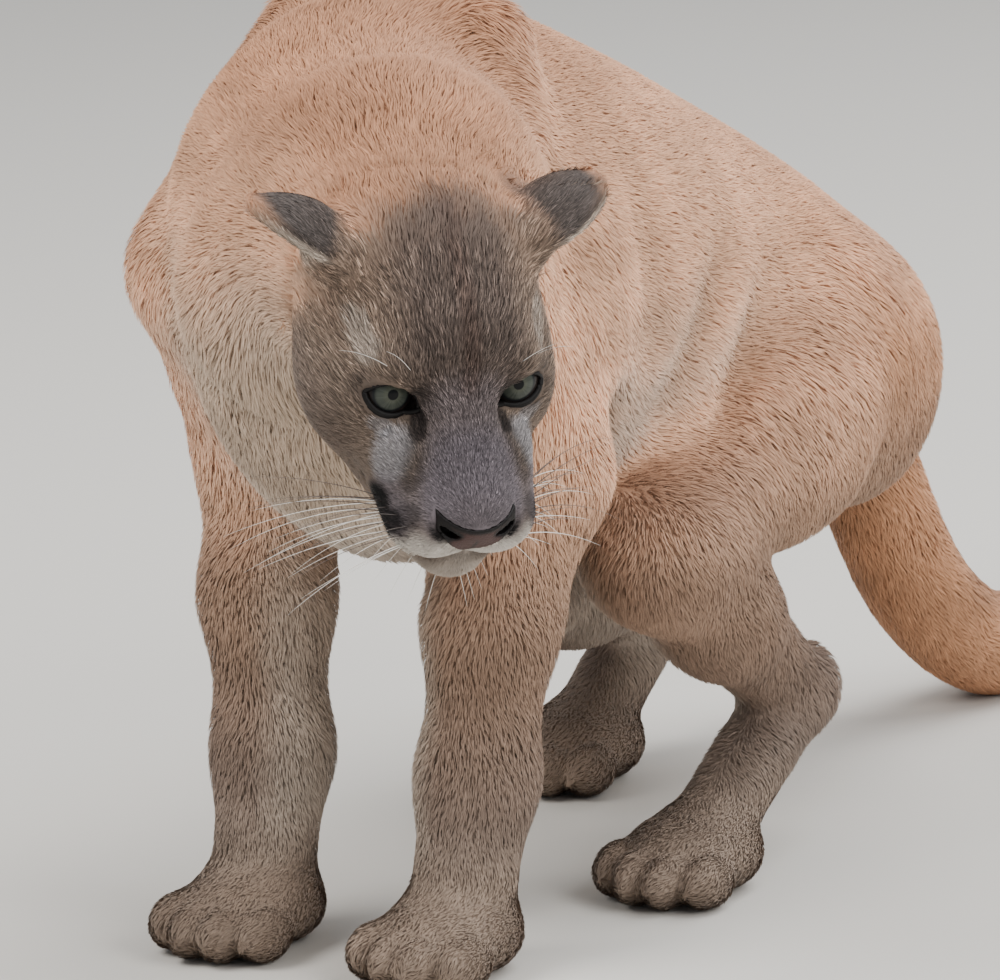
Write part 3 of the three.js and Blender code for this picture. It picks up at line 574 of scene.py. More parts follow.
def surface_net(distance, low, high, cell, settle=2):
    """One point in each grid cell that the surface crosses, moved onto it, and a four-sided
    face round each grid edge that it crosses."""
    low = np.asarray(low, float)
    counts = np.ceil((np.asarray(high) - low) / cell).astype(int) + 1
    values = sample_grid(distance, low, counts, cell)
    for axis in range(3):
        edge = np.moveaxis(values, axis, 0)
        edge[0] = np.maximum(edge[0], cell * 0.5)
        edge[-1] = np.maximum(edge[-1], cell * 0.5)
    inside = values < 0
    shape = np.array(values.shape)
    corners = np.array([[n & 1, n >> 1 & 1, n >> 2 & 1] for n in range(8)])
    count = np.zeros(shape - 1, np.int8)
    for a, b, c in corners:
        count += inside[a:shape[0] - 1 + a, b:shape[1] - 1 + b, c:shape[2] - 1 + c]
    cells = np.argwhere((count > 0) & (count < 8))
    corner_values = np.stack([values[tuple((cells + corner).T)] for corner in corners], 1)
    total = np.zeros((len(cells), 3))
    crossings = np.zeros(len(cells))
    for a in range(8):
        for bit in (1, 2, 4):
            if a & bit:
                continue
            va, vb = corner_values[:, a], corner_values[:, a | bit]
            crossed = (va < 0) != (vb < 0)
            t = np.where(crossed, va / np.where(crossed, va - vb, 1), 0)[:, None]
            place = corners[a] + t * (corners[a | bit] - corners[a])
            total += place * crossed[:, None]
            crossings += crossed
    points = low + (cells + total / crossings[:, None]) * cell
    points = settled(distance, points, settle, cell)
    number = np.full(shape - 1, -1, np.int64)
    number[tuple(cells.T)] = np.arange(len(cells))
    faces = []
    for axis in range(3):
        one = np.eye(3, dtype=int)[axis]
        u, v = np.eye(3, dtype=int)[(axis + 1) % 3], np.eye(3, dtype=int)[(axis + 2) % 3]
        first = inside[tuple(slice(0, n - d) for n, d in zip(shape, one))]
        second = inside[tuple(slice(d, n) for n, d in zip(shape, one))]
        edges = np.argwhere(first != second)
        edges = edges[(edges @ u > 0) & (edges @ v > 0)]
        edges = edges[(edges @ u < shape @ u - 1) & (edges @ v < shape @ v - 1)]
        ring = [edges - u - v, edges - v, edges, edges - u]
        quads = np.stack([number[tuple(place.T)] for place in ring], 1)
        flip = ~inside[tuple(edges.T)]
        quads[flip] = quads[flip][:, ::-1]
        faces.append(quads)
    return points, np.concatenate(faces)


def gradient(distance, points, step=0.4):
    """Slope of a distance function, by differences."""
    here = distance(points)
    moved = [distance(points + step * np.eye(3)[axis]) - here for axis in range(3)]
    return here, np.stack(moved, 1) / step


def settled(distance, points, passes, cell):
    """Points moved along the slope until they lie on the surface, by at most a cell."""
    start = points.copy()
    for _ in range(passes):
        here, slope = gradient(distance, points)
        steep = np.maximum((slope ** 2).sum(1), 0.2)
        points = points - (here / steep)[:, None] * slope
        points = start + np.clip(points - start, -0.6 * cell, 0.6 * cell)
    return points


def make_mesh(name, points, face_corners, face_sizes, smooth=True):
    """An object from points in millimetres and faces given as one run of corners."""
    mesh = bpy.data.meshes.new(name)
    mesh.vertices.add(len(points))
    mesh.vertices.foreach_set("co", ((points - STAND) * METRE).astype(np.float32).ravel())
    mesh.loops.add(len(face_corners))
    mesh.loops.foreach_set("vertex_index", np.asarray(face_corners, np.int32))
    mesh.polygons.add(len(face_sizes))
    starts = np.concatenate([[0], np.cumsum(face_sizes)[:-1]])
    mesh.polygons.foreach_set("loop_start", starts.astype(np.int32))
    mesh.polygons.foreach_set("use_smooth", np.full(len(face_sizes), smooth))
    mesh.update(calc_edges=True)
    piece = bpy.data.objects.new(name, mesh)
    bpy.context.scene.collection.objects.link(piece)
    return piece


def quad_piece(name, points, quads, smooth=True):
    """An object whose faces all have four corners."""
    return make_mesh(name, points, quads.ravel(), np.full(len(quads), 4), smooth)


def paint(piece, colours):
    """A linear colour for every vertex, in the attribute that the coat's materials read."""
    attribute = piece.data.attributes.new("coat_colour", "FLOAT_COLOR", "POINT")
    rgba = np.concatenate([colours, np.ones((len(colours), 1))], 1).astype(np.float32)
    attribute.data.foreach_set("color", rgba.ravel())


# Some of these colours are painted shade: the crease colour darkens the creases, the nostril colour
# blackens the nostril openings, the two leg colours add shade under the body to the legs' own tone, and
# the chin colour greys the pale chin with the shade under the jaw
COLOURS = {
    "belly": "#cbbfb2", "leg": "#977b67", "leg_low_and_shade": "#6d635c", "leg_pale": "#b3a596",
    "paw": "#8f7d6e", "chest": "#b9a28c", "tail": "#9b7053", "tail_tip": "#2c221d",
    "face": "#726459", "forehead": "#524742", "stripe": "#4b3a33", "brow_dark": "#362f2c",
    "brow_pale": "#a89d92", "under_eye": "#96969b", "tear": "#211b1a", "bridge": "#6a6163",
    "muzzle": "#6f686e", "moustache": "#0c0a0b", "lip": "#cfc8bf", "chin": "#a3988d",
    "cheek": "#6c5e55", "ear_back": "#4a4340", "ear_cup": "#b8ab9e", "nostril_shadow": "#080606",
    "spot": "#2c2627", "crease_shade": "#8c6b54", "rump": "#c8946f",
}
SHADE = {name: linear(code) for name, code in COLOURS.items()}


def blended(colour, name, share):
    """A colour moved towards a named one by a share for each point."""
    return colour + (SHADE[name] - colour) * np.clip(share, 0, 1)[:, None]


# Marks of the face in the head's frame: two ends, reach, colour and strength; each stands
# on both sides
FACE_MARKS = [
    ((-60, 0, 44), (-6, 0, 24), 44, "forehead", 0.9),
    ((8, 0, -2), (50, 0, -26), 28, "bridge", 0.8),
    ((46, 0, -24), (62, 6, -30), 32, "muzzle", 0.9),
    ((-44, 62, -34), (-20, 62, -40), 32, "cheek", 0.8),
    ((0, 25, 13), (8, 24, 6), 9, "brow_dark", 0.75),
    ((-14, 52, 17), (-34, 54, 22), 9, "brow_pale", 0.55),
    ((24, 38, -24), (30, 40, -30), 14, "under_eye", 0.6),
    ((-6, 52, -14), (14, 44, -17), 6, "under_eye", 0.42),
    ((40, 34, -46), (52, 36, -52), 19, "muzzle", 0.75),
    ((6, 24, -6), (24, 26, -14), 6.5, "tear", 0.85),
    ((26, 27, -14), (46, 34, -28), 8, "tear", 0.38),
    ((40, 47, -51), (48, 47, -62), 13, "moustache", 1.0),
    ((60, 36, -42), (56, 40, -50), 9, "moustache", 0.5),
    ((56, 42, -50), (50, 46, -60), 8, "moustache", 0.85),
    ((69, 18, -58), (64, 32, -63), 12.5, "lip", 1.0),
    ((72, 3, -62), (70, 14, -62), 10, "lip", 0.9),
    ((69, 18, -56), (66, 28, -54), 11, "lip", 0.9),
    # The chin's pale fur, greyed as painted shade under the jaw
    ((66, 0, -86), (40, 10, -92), 20, "chin", 0.95),
    ((78, 3, -62), (74, 1, -68), 3.6, "tear", 0.9),
]


def marked(colour, place, share):
    """Colour with the marks of the face, each fading from 0.6 to 1.15 of its reach."""
    mirrored = np.stack([place[:, 0], np.abs(place[:, 1]), place[:, 2]], 1)
    for a, b, reach, name, strength in FACE_MARKS:
        away = limb(a, 0, b, 0)(mirrored) / reach
        colour = blended(colour, name, share * strength * (1 - ramp(away, 0.6, 1.15)))
    rows = np.sin((place[:, 2] + 0.25 * place[:, 0]) * 1.25) * np.sin(place[:, 0] * 0.95)
    pad = 1 - ramp(limb((58, 36, -54), 0, (46, 44, -58), 0)(mirrored), 7, 15)
    return blended(colour, "spot", share * pad * ramp(rows, 0.2, 0.5) * 0.95)


def coat_colour(points, normals, nearness):
    """Colour of the coat at each point, from its place on the body and the way it faces, with painted
    shade in its creases, nostrils, legs and chin.
    """
    settings = bpy.context.scene.cougar
    x, y, z = points.T
    head, neck, trunk, tail = nearness[0], nearness[1], nearness[2], nearness[7]
    leg = nearness[3:7].sum(0)
    down = ramp(-normals[:, 2], -0.2, 0.7)
    up = ramp(normals[:, 2], 0.05, 0.95)
    back = np.array(settings.back)[None]
    colour = np.repeat(np.array(settings.flank)[None], len(points), 0)
    fore = 1 - ramp(y, 20, 240)
    colour = colour + (back - colour) * (up * 0.8 + 0.35 * fore * ramp(z, 380, 560))[:, None].clip(0, 1)
    inner = ramp(-np.sign(x) * normals[:, 0], 0.1, 0.8)
    front = ramp(-y, 10, 110) * (1 - ramp(np.abs(x), 55, 105)) * (1 - ramp(z, 380, 500))
    # Painted shade: the coat is darkened along the creases of the skin, by their depth
    crease_shading = creased(points) / CREASE_DARK
    for name, share in (
        ("rump", ramp(y, 260, 420) * (1 - up)),
        # The legs' own tone, darkened as painted shade under the body, more so low down
        ("leg", leg * (1 - ramp(z, 200, 360))),
        ("leg_low_and_shade", leg * (1 - ramp(z, 60, 220)) * 0.8),
        ("leg_pale", leg * inner * (1 - ramp(z, 280, 420)) * 0.6),
        ("paw", leg * (1 - ramp(z, 40, 110))),
        ("belly", (down * (trunk + 0.4 * neck) * ramp(z, 100, 180)).clip(0, 1)),
        ("chest", front * ramp(z, 180, 300) * 0.85 * (1 - head)),
        ("tail", tail * (0.35 + 0.55 * up)),
        ("tail_tip", tail * ramp(y, 1060, 1140)),
        ("crease_shade", (1 - head) * crease_shading.clip(0, 1) * 0.5),
    ):
        colour = blended(colour, name, share)
    place = in_head(points)
    share = (head + 0.75 * neck * (1 - ramp(-place[:, 0], 88, 128))).clip(0, 1)
    behind = ramp(place[:, 0] + 0.35 * ripple(points, 26, 6) * 40, -112, -58)
    colour = blended(colour, "face", share * behind)
    colour = marked(colour, place, share)
    stripe = (1 - ramp(np.abs(place[:, 1]), 2, 9)) * ramp(place[:, 2], 8, 20)
    colour = blended(colour, "stripe", stripe * 0.55 * share * behind)
    for side in (1, -1):
        _, middle, axis, opening, _ = ear_frame(side)
        offset = points - middle
        on_ear = share * (1 - ramp(np.linalg.norm(offset / 34, axis=1), 0.9, 1.25))
        on_ear = on_ear * ramp(offset @ axis, -20, -4)
        cup = ramp(normals @ opening, -0.1, 0.4)
        colour = blended(colour, "ear_back", on_ear * (1 - cup))
        colour = blended(colour, "ear_cup", on_ear * cup)
        lid = np.linalg.norm(points - head_point(EYE["centre"], side), axis=1)
        colour = blended(colour, "brow_dark", share * (1 - ramp(lid, 18.5, 23)) * 0.85)
    # Painted shadow: the skin seen through the nostrils is blackened
    wide = np.abs(place[:, 1]) - NOSE["nostril"][0]
    nostril_shadow = np.sqrt((wide / 9) ** 2 + ((place[:, 2] - NOSE["nostril"][1]) / 6) ** 2)
    return blended(colour, "nostril_shadow", head * (1 - ramp(nostril_shadow, 0.8, 1.3)) * (place[:, 0] > 56))


def node(tree, kind, place, settings=None, links=None):
    """A shader node at a place, its settings made and its inputs linked or set."""
    made = tree.nodes.new(kind)
    made.location = place
    for key, value in (settings or {}).items():
        if isinstance(key, int) or key in made.inputs:
            made.inputs[key].default_value = value
        else:
            setattr(made, key, value)
    for key, source in (links or {}).items():
        tree.links.new(source, made.inputs[key])
    return made


def new_material(name):
    """An empty material and its output node."""
    material = bpy.data.materials.new(name)
    material.use_nodes = True
    material.node_tree.nodes.clear()
    return material, material.node_tree


def shaded(tree, settings, links=None):
    """A Principled shader with the material's output."""
    shader = node(tree, "ShaderNodeBsdfPrincipled", (-200, 0), settings, links)
    node(tree, "ShaderNodeOutputMaterial", (100, 0), links={"Surface": shader.outputs[0]})


def painted_material(name, settings):
    """A smooth material whose base colour is painted on the points of the mesh."""
    material, tree = new_material(name)
    colour = node(tree, "ShaderNodeAttribute", (-600, 0), {"attribute_name": "coat_colour"})
    shaded(tree, settings, {"Base Color": colour.outputs["Color"]})
    return material


def grained_material(name, grain, shade, bump, settings):
    """A material whose painted colour and bump both follow one fine grain; the colour is darker where
    the grain lies low, as painted shade.

    The grain is a node kind, its settings and the output that is read; shade holds the
    range that multiplies the colour, and bump the height of the grain.
    """
    material, tree = new_material(name)
    kind, grain_settings, reading = grain
    place = node(tree, "ShaderNodeTexCoord", (-1400, -100))
    fine = node(tree, kind, (-1200, -100), grain_settings, {"Vector": place.outputs["Object"]})
    colour = node(tree, "ShaderNodeAttribute", (-1000, 200), {"attribute_name": "coat_colour"})
    tone = node(tree, "ShaderNodeMapRange", (-1000, -50), shade, {"Value": fine.outputs[reading]})
    mixed = node(tree, "ShaderNodeMix", (-700, 150),
                 {"data_type": "RGBA", "blend_type": "MULTIPLY"})
    mixed.inputs["Factor"].default_value = 1.0
    tree.links.new(colour.outputs["Color"], mixed.inputs["A"])
    tree.links.new(tone.outputs["Result"], mixed.inputs["B"])
    relief = node(tree, "ShaderNodeBump", (-700, -200), bump, {"Height": fine.outputs[reading]})
    shaded(tree, settings, {
        "Base Color": mixed.outputs["Result"], "Normal": relief.outputs["Normal"]})
    return material


def floor_material():
    """Pale matt studio floor, of one even tone."""
    material, tree = new_material("pale_floor")
    shaded(tree, {"Base Color": (*linear("#cfccc6"), 1), "Roughness": 0.9})
    return material


def hair_material():
    """Cougar guard hair, dry and matt: light picks out each clump of hairs a little."""
    return painted_material("short_guard_hair", {
        "Roughness": 0.65, "Specular IOR Level": 0.2, "Sheen Weight": 0.05, "Sheen Roughness": 0.5})


def skin_material():
    """Dense underfur seen between the tufts: the coat's colour, with painted shade where its
    fine nap lies low; the nap is 1.5 mm across, drawn twice the real hair spacing so that it shows."""
    nap = ("ShaderNodeTexNoise", {"Scale": 650.0, "Detail": 3.0}, "Fac")
    return grained_material("dense_underfur", nap, {"To Min": 0.88, "To Max": 1.06},
                            {"Strength": 0.5, "Distance": 0.001},
                            {"Roughness": 0.85, "Specular IOR Level": 0.2})


def wet_material():
    """Cornea over iris and sclera: a clear wet coat, so that one sharp highlight shows."""
    return painted_material("wet_cornea", {
        "Roughness": 0.5, "IOR": 1.376, "Specular IOR Level": 0.1, "Coat Weight": 0.3,
        "Coat Roughness": 0.03, "Coat IOR": 1.376})


def bare_skin_material(name, pebble, roughness, relief):
    """Bare black-brown skin, moist and pebbled: small cells a stated size across, each lighter on
    its raised middle as a painted highlight and darker at its sunken edge as painted shade.
    The cells of the nose are 0.9 mm, of the lids 0.6 mm."""
    cells = ("ShaderNodeTexVoronoi", {"Scale": 1 / (pebble * METRE), "feature": "SMOOTH_F1"},
             "Distance")
    return grained_material(name, cells, {"From Max": 0.8, "To Min": 1.12, "To Max": 0.7},
                            {"Strength": relief, "Distance": 0.0004, "invert": True},
                            {"Roughness": roughness, "Specular IOR Level": 0.2})


def whisker_material():
    """Stiff whisker keratin, smooth and a little waxy, white or nearly black by its root."""
    return painted_material("whisker_keratin", {"Roughness": 0.38, "Specular IOR Level": 0.5})


FLESH_NODES = [
    "crown", "face", "muzzle", "lower_jaw", "ear_left", "ear_right", "neck", "chest", "belly",
    "hips", "tail_base", "tail_middle", "tail_tip",
] + [f"{name}_{side}" for side in ("left", "right")
     for name in ("shoulder", "foreleg", "forepaw", "thigh", "shank", "hind_foot")]


def ring_quads(i, k, following, sides):
    """Corners of the faces between ring i and the ring that follows it, at place k of each."""
    here, beside = i * sides + k, i * sides + (k + 1) % sides
    ahead, corner = following * sides + k, following * sides + (k + 1) % sides
    return np.stack([here, beside, corner, ahead], -1).reshape(-1, 4)


def tube(paths, radii, sides):
    """Round tapering tubes: rings of a given radius carried along each path.

    paths is (tubes, steps, 3) and radii (tubes, steps); the ends are left open.
    """
    along = unit(np.gradient(paths, axis=1))
    helper = np.where(np.abs(along[..., 2:3]) < 0.9, [[[0.0, 0.0, 1.0]]], [[[1.0, 0.0, 0.0]]])
    first = unit(np.cross(along, helper))
    second = np.cross(along, first)
    angle = np.arange(sides) * 2 * np.pi / sides
    ring = (np.cos(angle)[:, None] * first[:, :, None] + np.sin(angle)[:, None] * second[:, :, None])
    points = paths[:, :, None] + ring * radii[:, :, None, None]
    count, steps = paths.shape[:2]
    i, j, k = np.meshgrid(np.arange(count), np.arange(steps - 1), np.arange(sides), indexing="ij")
    ring_number = i * steps + j
    return points.reshape(-1, 3), ring_quads(ring_number, k, ring_number + 1, sides)


def ball(centre, radius, pole, rings, turns):
    """A sphere about a pole, with the angle from the pole and round it for each point.

    The front bulges as a cornea does: radius + 1.3 e^-(angle / 0.5)^2 mm.
    """
    tilt = np.linspace(0, 1, rings) ** 1.35 * np.pi
    turn = np.arange(turns) * 2 * np.pi / turns
    helper = unit(np.cross(pole, HEAD_UP))
    other = np.cross(pole, helper)
    reach = radius + 1.3 * np.exp(-(tilt / 0.5) ** 2)
    out = (np.cos(tilt)[:, None, None] * pole
           + np.sin(tilt)[:, None, None] * (np.cos(turn)[:, None] * helper
                                            + np.sin(turn)[:, None] * other))
    points = centre + out * reach[:, None, None]
    i, j = np.meshgrid(np.arange(rings - 1), np.arange(turns), indexing="ij")
    here, beside = i * turns + j, i * turns + (j + 1) % turns
    quads = np.stack([here, here + turns, beside + turns, beside], -1).reshape(-1, 4)
    return points.reshape(-1, 3), quads, np.repeat(tilt, turns), np.tile(turn, rings)


def lid_path(side, steps, swell=1.0):
    """The edge of the lids: the almond outline laid on the front of the eyeball."""
    middle, across, up, facing, half = socket(side)
    a, b = almond(np.arange(steps) * 2 * np.pi / steps, half)
    flat = middle + a[:, None] * across + b[:, None] * up - head_point(EYE["centre"], side)
    ahead = flat @ facing
    under = ahead ** 2 - (flat ** 2).sum(1) + (EYE["radius"] + swell) ** 2
    lift = np.maximum(-ahead + np.sqrt(np.maximum(under, 0)), 0) * (under > 0)
    return flat + lift[:, None] * facing + head_point(EYE["centre"], side)


def nose_outline(points):
    """Distance outside the outline of the nose leather, seen from the front."""
    _, left, up = in_head(points).T
    wide = np.abs(left)
    top = NOSE["top"] + 5 * (wide / NOSE["half"]) ** 2
    t = np.clip((up - NOSE["point"]) / (-40 - NOSE["point"]), 0, 1)
    side = 2 + (NOSE["half"] - 2) * t ** 0.75
    return np.maximum(np.maximum(up - top, wide - side), NOSE["point"] - up)


def nose_distance(points):
    """The nose leather: the flesh raised a little, inside its outline, nostrils hollowed."""
    forward, left, up = in_head(points).T
    total = np.maximum(body(points) - NOSE["rise"], nose_outline(points) * 0.8)
    total = np.maximum(total, NOSE["front"] - forward)
    wide = np.abs(left) - NOSE["nostril"][0]
    high = up - NOSE["nostril"][1] - 0.35 * wide - 0.02 * wide ** 2
    slot = np.sqrt((wide / 6.5) ** 2 + (high / 2.6) ** 2 + ((forward - 73) / 11) ** 2) - 1
    return np.maximum(total, -slot * 2.6)


def on_eye(points, margin):
    """True inside the eye opening grown by a margin."""
    total = np.zeros(len(points), bool)
    for side in (1, -1):
        a, b, c, half = in_socket(points, side)
        total |= (np.abs(b) < lid_height(a, b, half, margin)) & (c > -EYE_DEPTH) & (c < 30)
    return total


LIE = {
    "torso": (0, 1, 0), "foreleg_left": (0, 0.12, -1), "foreleg_right": (0, 0.12, -1),
    "hindleg_left": (0, 0.35, -1), "hindleg_right": (0, 0.35, -1),
}


def lie_of_coat(points, normals, nearness):
    """The way the hairs lie: back along the trunk, down the legs, forward over the paws,
    along the tail, and away from the nose over the head and neck."""
    lie = np.zeros_like(points)
    for row, part in enumerate(PARTS):
        share = nearness[row][:, None]
        if part in LIE:
            way = np.repeat(np.array([LIE[part]], float), len(points), 0)
            if part == "torso":
                way[:, 2] = -0.15 - 0.5 * ramp(-normals[:, 2], -0.7, 0.4)
            else:
                low = 1 - ramp(points[:, 2], 34, 78)
                way[:, 1] -= 2.2 * low
                way[:, 2] += 0.5 * low
        elif part == "tail":
            stops = np.array([place for place, _ in TAIL], float)
            nearest = ((points[:, None] - stops[None]) ** 2).sum(2).argmin(1)
            way = unit(np.gradient(stops, axis=0))[nearest]
        else:
            way = unit(points - head_point((78, 0, -40)))
            if part == "neck":
                way = way * 0.8 + np.array([-0.1, 0.35, -0.45])
        lie += share * way
    for side in (1, -1):
        _, middle, axis, _, _ = ear_frame(side)
        near = 1 - ramp(np.linalg.norm(points - middle, axis=1), 28, 40)
        lie += near[:, None] * 2 * axis
    lie -= (lie * normals).sum(1)[:, None] * normals
    return unit(lie)


def ripple(points, scale, seed):
    """Soft waves over space between -1 and 1: four sines in fixed directions."""
    ways = np.random.default_rng(seed).normal(size=(4, 3))
    ways = unit(ways) / scale
    return sum(np.sin(points @ way * 2 * np.pi + 1.7 * n) for n, way in enumerate(ways)) / 4


def part_nearness(points):
    """Share of each part of the body at each point, e^-(depth behind the nearest / 14 mm)."""
    points = points.astype(np.float32)
    best = np.full((len(PARTS), len(points)), 1e9)
    for part, shape, _ in SHAPES:
        row = PARTS.index(part)
        best[row] = np.minimum(best[row], shape(points))
    nearness = np.exp(-np.clip(best - best.min(0), 0, 200) / 14)
    return best.argmin(0), nearness / nearness.sum(0)


def coat_measure(points, parts):
    """Length and width of a tuft and how many stand on a square millimetre, by place."""
    _, y, z = points.T
    length = np.full(len(points), 11.5)
    length += 4 * ramp(-y, 40, 150) * (1 - ramp(z, 400, 500))
    length += 3 * (1 - ramp(z, 250, 320)) * (parts == 2)
    leg = np.isin(parts, [3, 4, 5, 6])
    length = np.where(leg, 9 + 4 * ramp(z, 220, 360), length)
    length = np.where(leg, 6.5 + (length - 6.5) * ramp(z, 40, 110), length)
    width = 0.62 + 0.042 * length
    head = head_share(points) * (parts == 0)
    muzzle = np.linalg.norm(points - head_point((60, 0, -45)), axis=1)
    face = 3.4 + 7.5 * ramp(muzzle, 35, 150)
    length = length + (face - length) * head
    width = width + (0.42 + 0.35 * ramp(muzzle, 40, 150) - width) * head
    ear = near_ears(points)
    length = length + (6 - length) * ear
    width = width + (0.6 - width) * ear
    crowd = 13.0 / (length * width)
    return length, width, crowd


class COUGAR_OT_stage(bpy.types.Operator):
    """Camera at the photograph's angle, a pale floor and soft studio lights."""

    bl_idname = "cougar.stage"
    bl_label = "Stage"

    def execute(self, context):
        scene = context.scene
        azimuth, elevation = (math.radians(CAMERA[key]) for key in ("azimuth", "elevation"))
        back = np.array([math.sin(azimuth) * math.cos(elevation),
                         -math.cos(azimuth) * math.cos(elevation), math.sin(elevation)])
        right = np.array([math.cos(azimuth), math.sin(azimuth), 0])
        up = np.cross(back, right)
        target = HEAD_ORIGIN + CAMERA["right"] * right + CAMERA["up"] * up
        place = (target + back * CAMERA["distance"] - STAND) * METRE
        camera = bpy.data.cameras.new("camera")
        camera.lens = CAMERA["focal"]
        camera.sensor_width = CAMERA["sensor"]
        camera.sensor_fit = "HORIZONTAL"
        camera.clip_end = 50
        viewer = bpy.data.objects.new("camera", camera)
        viewer.location = place
        viewer.rotation_euler = (math.pi / 2 - elevation, 0, azimuth)
        scene.collection.objects.link(viewer)
        scene.camera = viewer
        corners = FLOOR_HALF * np.array([[-1, -1, 0], [1, -1, 0], [1, 1, 0], [-1, 1, 0]])
        floor = quad_piece("floor", corners, np.array([[0, 1, 2, 3]]), False)
        floor.data.materials.append(floor_material())
        world = bpy.data.worlds.new("studio")
        world.use_nodes = True
        background = world.node_tree.nodes["Background"]
        background.inputs["Color"].default_value = (0.80, 0.83, 0.88, 1)
        background.inputs["Strength"].default_value = 0.55
        scene.world = world
        for name, place, power, size, tint in LIGHTS:
            light = bpy.data.lights.new(name, "AREA")
            light.energy = power
            light.size = size
            light.color = tint
            lamp = bpy.data.objects.new(name, light)
            lamp.location = place
            way = np.array(place) - (0, -0.2, 0.35)
            flat = math.hypot(way[0], way[1])
            lamp.rotation_euler = (math.atan2(flat, way[2]), 0, math.atan2(way[0], -way[1]))
            scene.collection.objects.link(lamp)
        return {"FINISHED"}


class COUGAR_OT_skin(bpy.types.Operator):
    """One skin for the whole animal, under the depth of its coat."""

    bl_idname = "cougar.skin"
    bl_label = "Skin"

    def execute(self, context):
        settings = context.scene.cougar
        low, high = np.array(BODY_ROOM, float)
        body_points, body_faces = surface_net(body_skin, low, high, settings.body_cell / METRE)
        head_middle = head_point((-20, 0, -10))
        head_points, head_faces = surface_net(
            head_skin, head_middle - HEAD_REACH, head_middle + HEAD_REACH,
            settings.head_cell / METRE)
        points = np.concatenate([body_points, head_points])
        faces = np.concatenate([body_faces, head_faces + len(body_points)])
        skin = quad_piece("skin", points, faces)
        normals = np.empty(len(points) * 3, np.float32)
        skin.data.vertices.foreach_get("normal", normals)
        normals = normals.reshape(-1, 3)
        paint(skin, coat_colour(points, normals, part_nearness(points)[1]))
        skin.data.materials.append(skin_material())
        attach(skin, "root")
        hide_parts(*FLESH_NODES)
        return {"FINISHED"}


class COUGAR_OT_eyes(bpy.types.Operator):
    """Two eyeballs with grey-green irises that look at the camera."""

    bl_idname = "cougar.eyes"
    bl_label = "Eyes"

    def execute(self, context):
        material = wet_material()
        gaze = head_direction(GAZE)
        for side, name in ((1, "left"), (-1, "right")):
            centre = head_point(EYE["centre"], side)
            points, quads, tilt, turn = ball(centre, EYE["radius"], gaze, 80, 96)
            piece = quad_piece(f"eyeball_{name}", points, quads)
            iris = math.asin(10.6 / EYE["radius"])
            streak = 0.5 + 0.5 * np.sin(turn * 37 + 2 * np.sin(turn * 5)) * np.sin(turn * 23)
            colour = np.repeat(linear("#1d1715")[None], len(points), 0)
            inside = 1 - ramp(tilt, iris * 0.97, iris * 1.05)
            tint = (linear("#40443e") * (0.75 + 0.4 * streak[:, None])
                    + linear("#7d7a52") * 0.06 * (1 - ramp(tilt, 0.25, 0.4))[:, None])
            colour += (tint - colour) * inside[:, None]
            limbus = np.exp(-((tilt - iris) / 0.07) ** 2)
            colour += (linear("#14171a") - colour) * limbus[:, None]
            pupil = 1 - ramp(tilt, 0.165, 0.2)
            colour += (linear("#06080a") - colour) * pupil[:, None]
            paint(piece, colour)
            piece.data.materials.append(material)
            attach(piece, "root")
            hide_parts(f"eye_{name}")
        return {"FINISHED"}


class COUGAR_OT_lids(bpy.types.Operator):
    """Black rims of the eyelids, round each opening, with the inner corner drawn out."""

    bl_idname = "cougar.lids"
    bl_label = "Lids"

    def execute(self, context):
        material = bare_skin_material("bare_lid_rim", 0.6, 0.5, 0.25)
        steps, sides = 72, 12
        angle = np.arange(steps) * 2 * np.pi / steps
        for side, name in ((1, "left"), (-1, "right")):
            path = lid_path(side, steps, 1.2)
            radius = 1.5 + 0.8 * (np.sin(angle) < 0) * np.abs(np.sin(angle)) ** 0.6
            radius = radius + 0.5 * np.exp(-((angle - np.pi) / 0.4) ** 2)
            closed = np.concatenate([path[-2:], path, path[:2]])[None]
            wide = np.concatenate([radius[-2:], radius, radius[:2]])[None]
            points, _ = tube(closed, wide, sides)
            points = points.reshape(-1, sides, 3)[2:-2].reshape(-1, 3)
            i, k = np.meshgrid(np.arange(steps), np.arange(sides), indexing="ij")
            quads = ring_quads(i, k, (i + 1) % steps, sides)
            piece = quad_piece(f"lid_rim_{name}", points, quads)
            paint(piece, np.repeat(linear("#0e0b0b")[None], len(points), 0))
            piece.data.materials.append(material)
            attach(piece, "root")
        return {"FINISHED"}


class COUGAR_OT_nose(bpy.types.Operator):
    """Nose leather with its nostrils, red-brown in front with a black rim."""

    bl_idname = "cougar.nose"
    bl_label = "Nose"

    def execute(self, context):
        middle = head_point((68, 0, -44))
        points, quads = surface_net(nose_distance, middle - 36, middle + 36, 1.15, 3)
        piece = quad_piece("nose_leather", points, quads)
        _, left, up = in_head(points).T
        wide = np.abs(left)
        colour = np.repeat(linear("#452f2c")[None], len(points), 0)
        rim = ramp(up - (NOSE["top"] + 5 * (wide / NOSE["half"]) ** 2), -4.5, -1.2)
        rim = np.maximum(rim, ramp(wide, 14, 18))
        colour += (linear("#120e0e") - colour) * rim[:, None]
        seam = (1 - ramp(wide, 0.6, 1.8)) * (1 - ramp(up, -50, -44))
        colour += (linear("#1d1514") - colour) * seam[:, None] * 0.8
        # Painted shadow inside each nostril opening of the leather
        hole = np.sqrt(((wide - NOSE["nostril"][0]) / 8) ** 2
                       + ((up - NOSE["nostril"][1]) / 4.5) ** 2)
        colour += (linear("#0d0a0a") - colour) * (1 - ramp(hole, 0.7, 1.2))[:, None]
        paint(piece, colour)
        piece.data.materials.append(bare_skin_material("moist_nose_leather", 0.9, 0.45, 0.6))
        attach(piece, "root")
        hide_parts("nose")
        return {"FINISHED"}


WHISKER_ROOM = 244.0  # no whisker reaches further than this to the animal's left


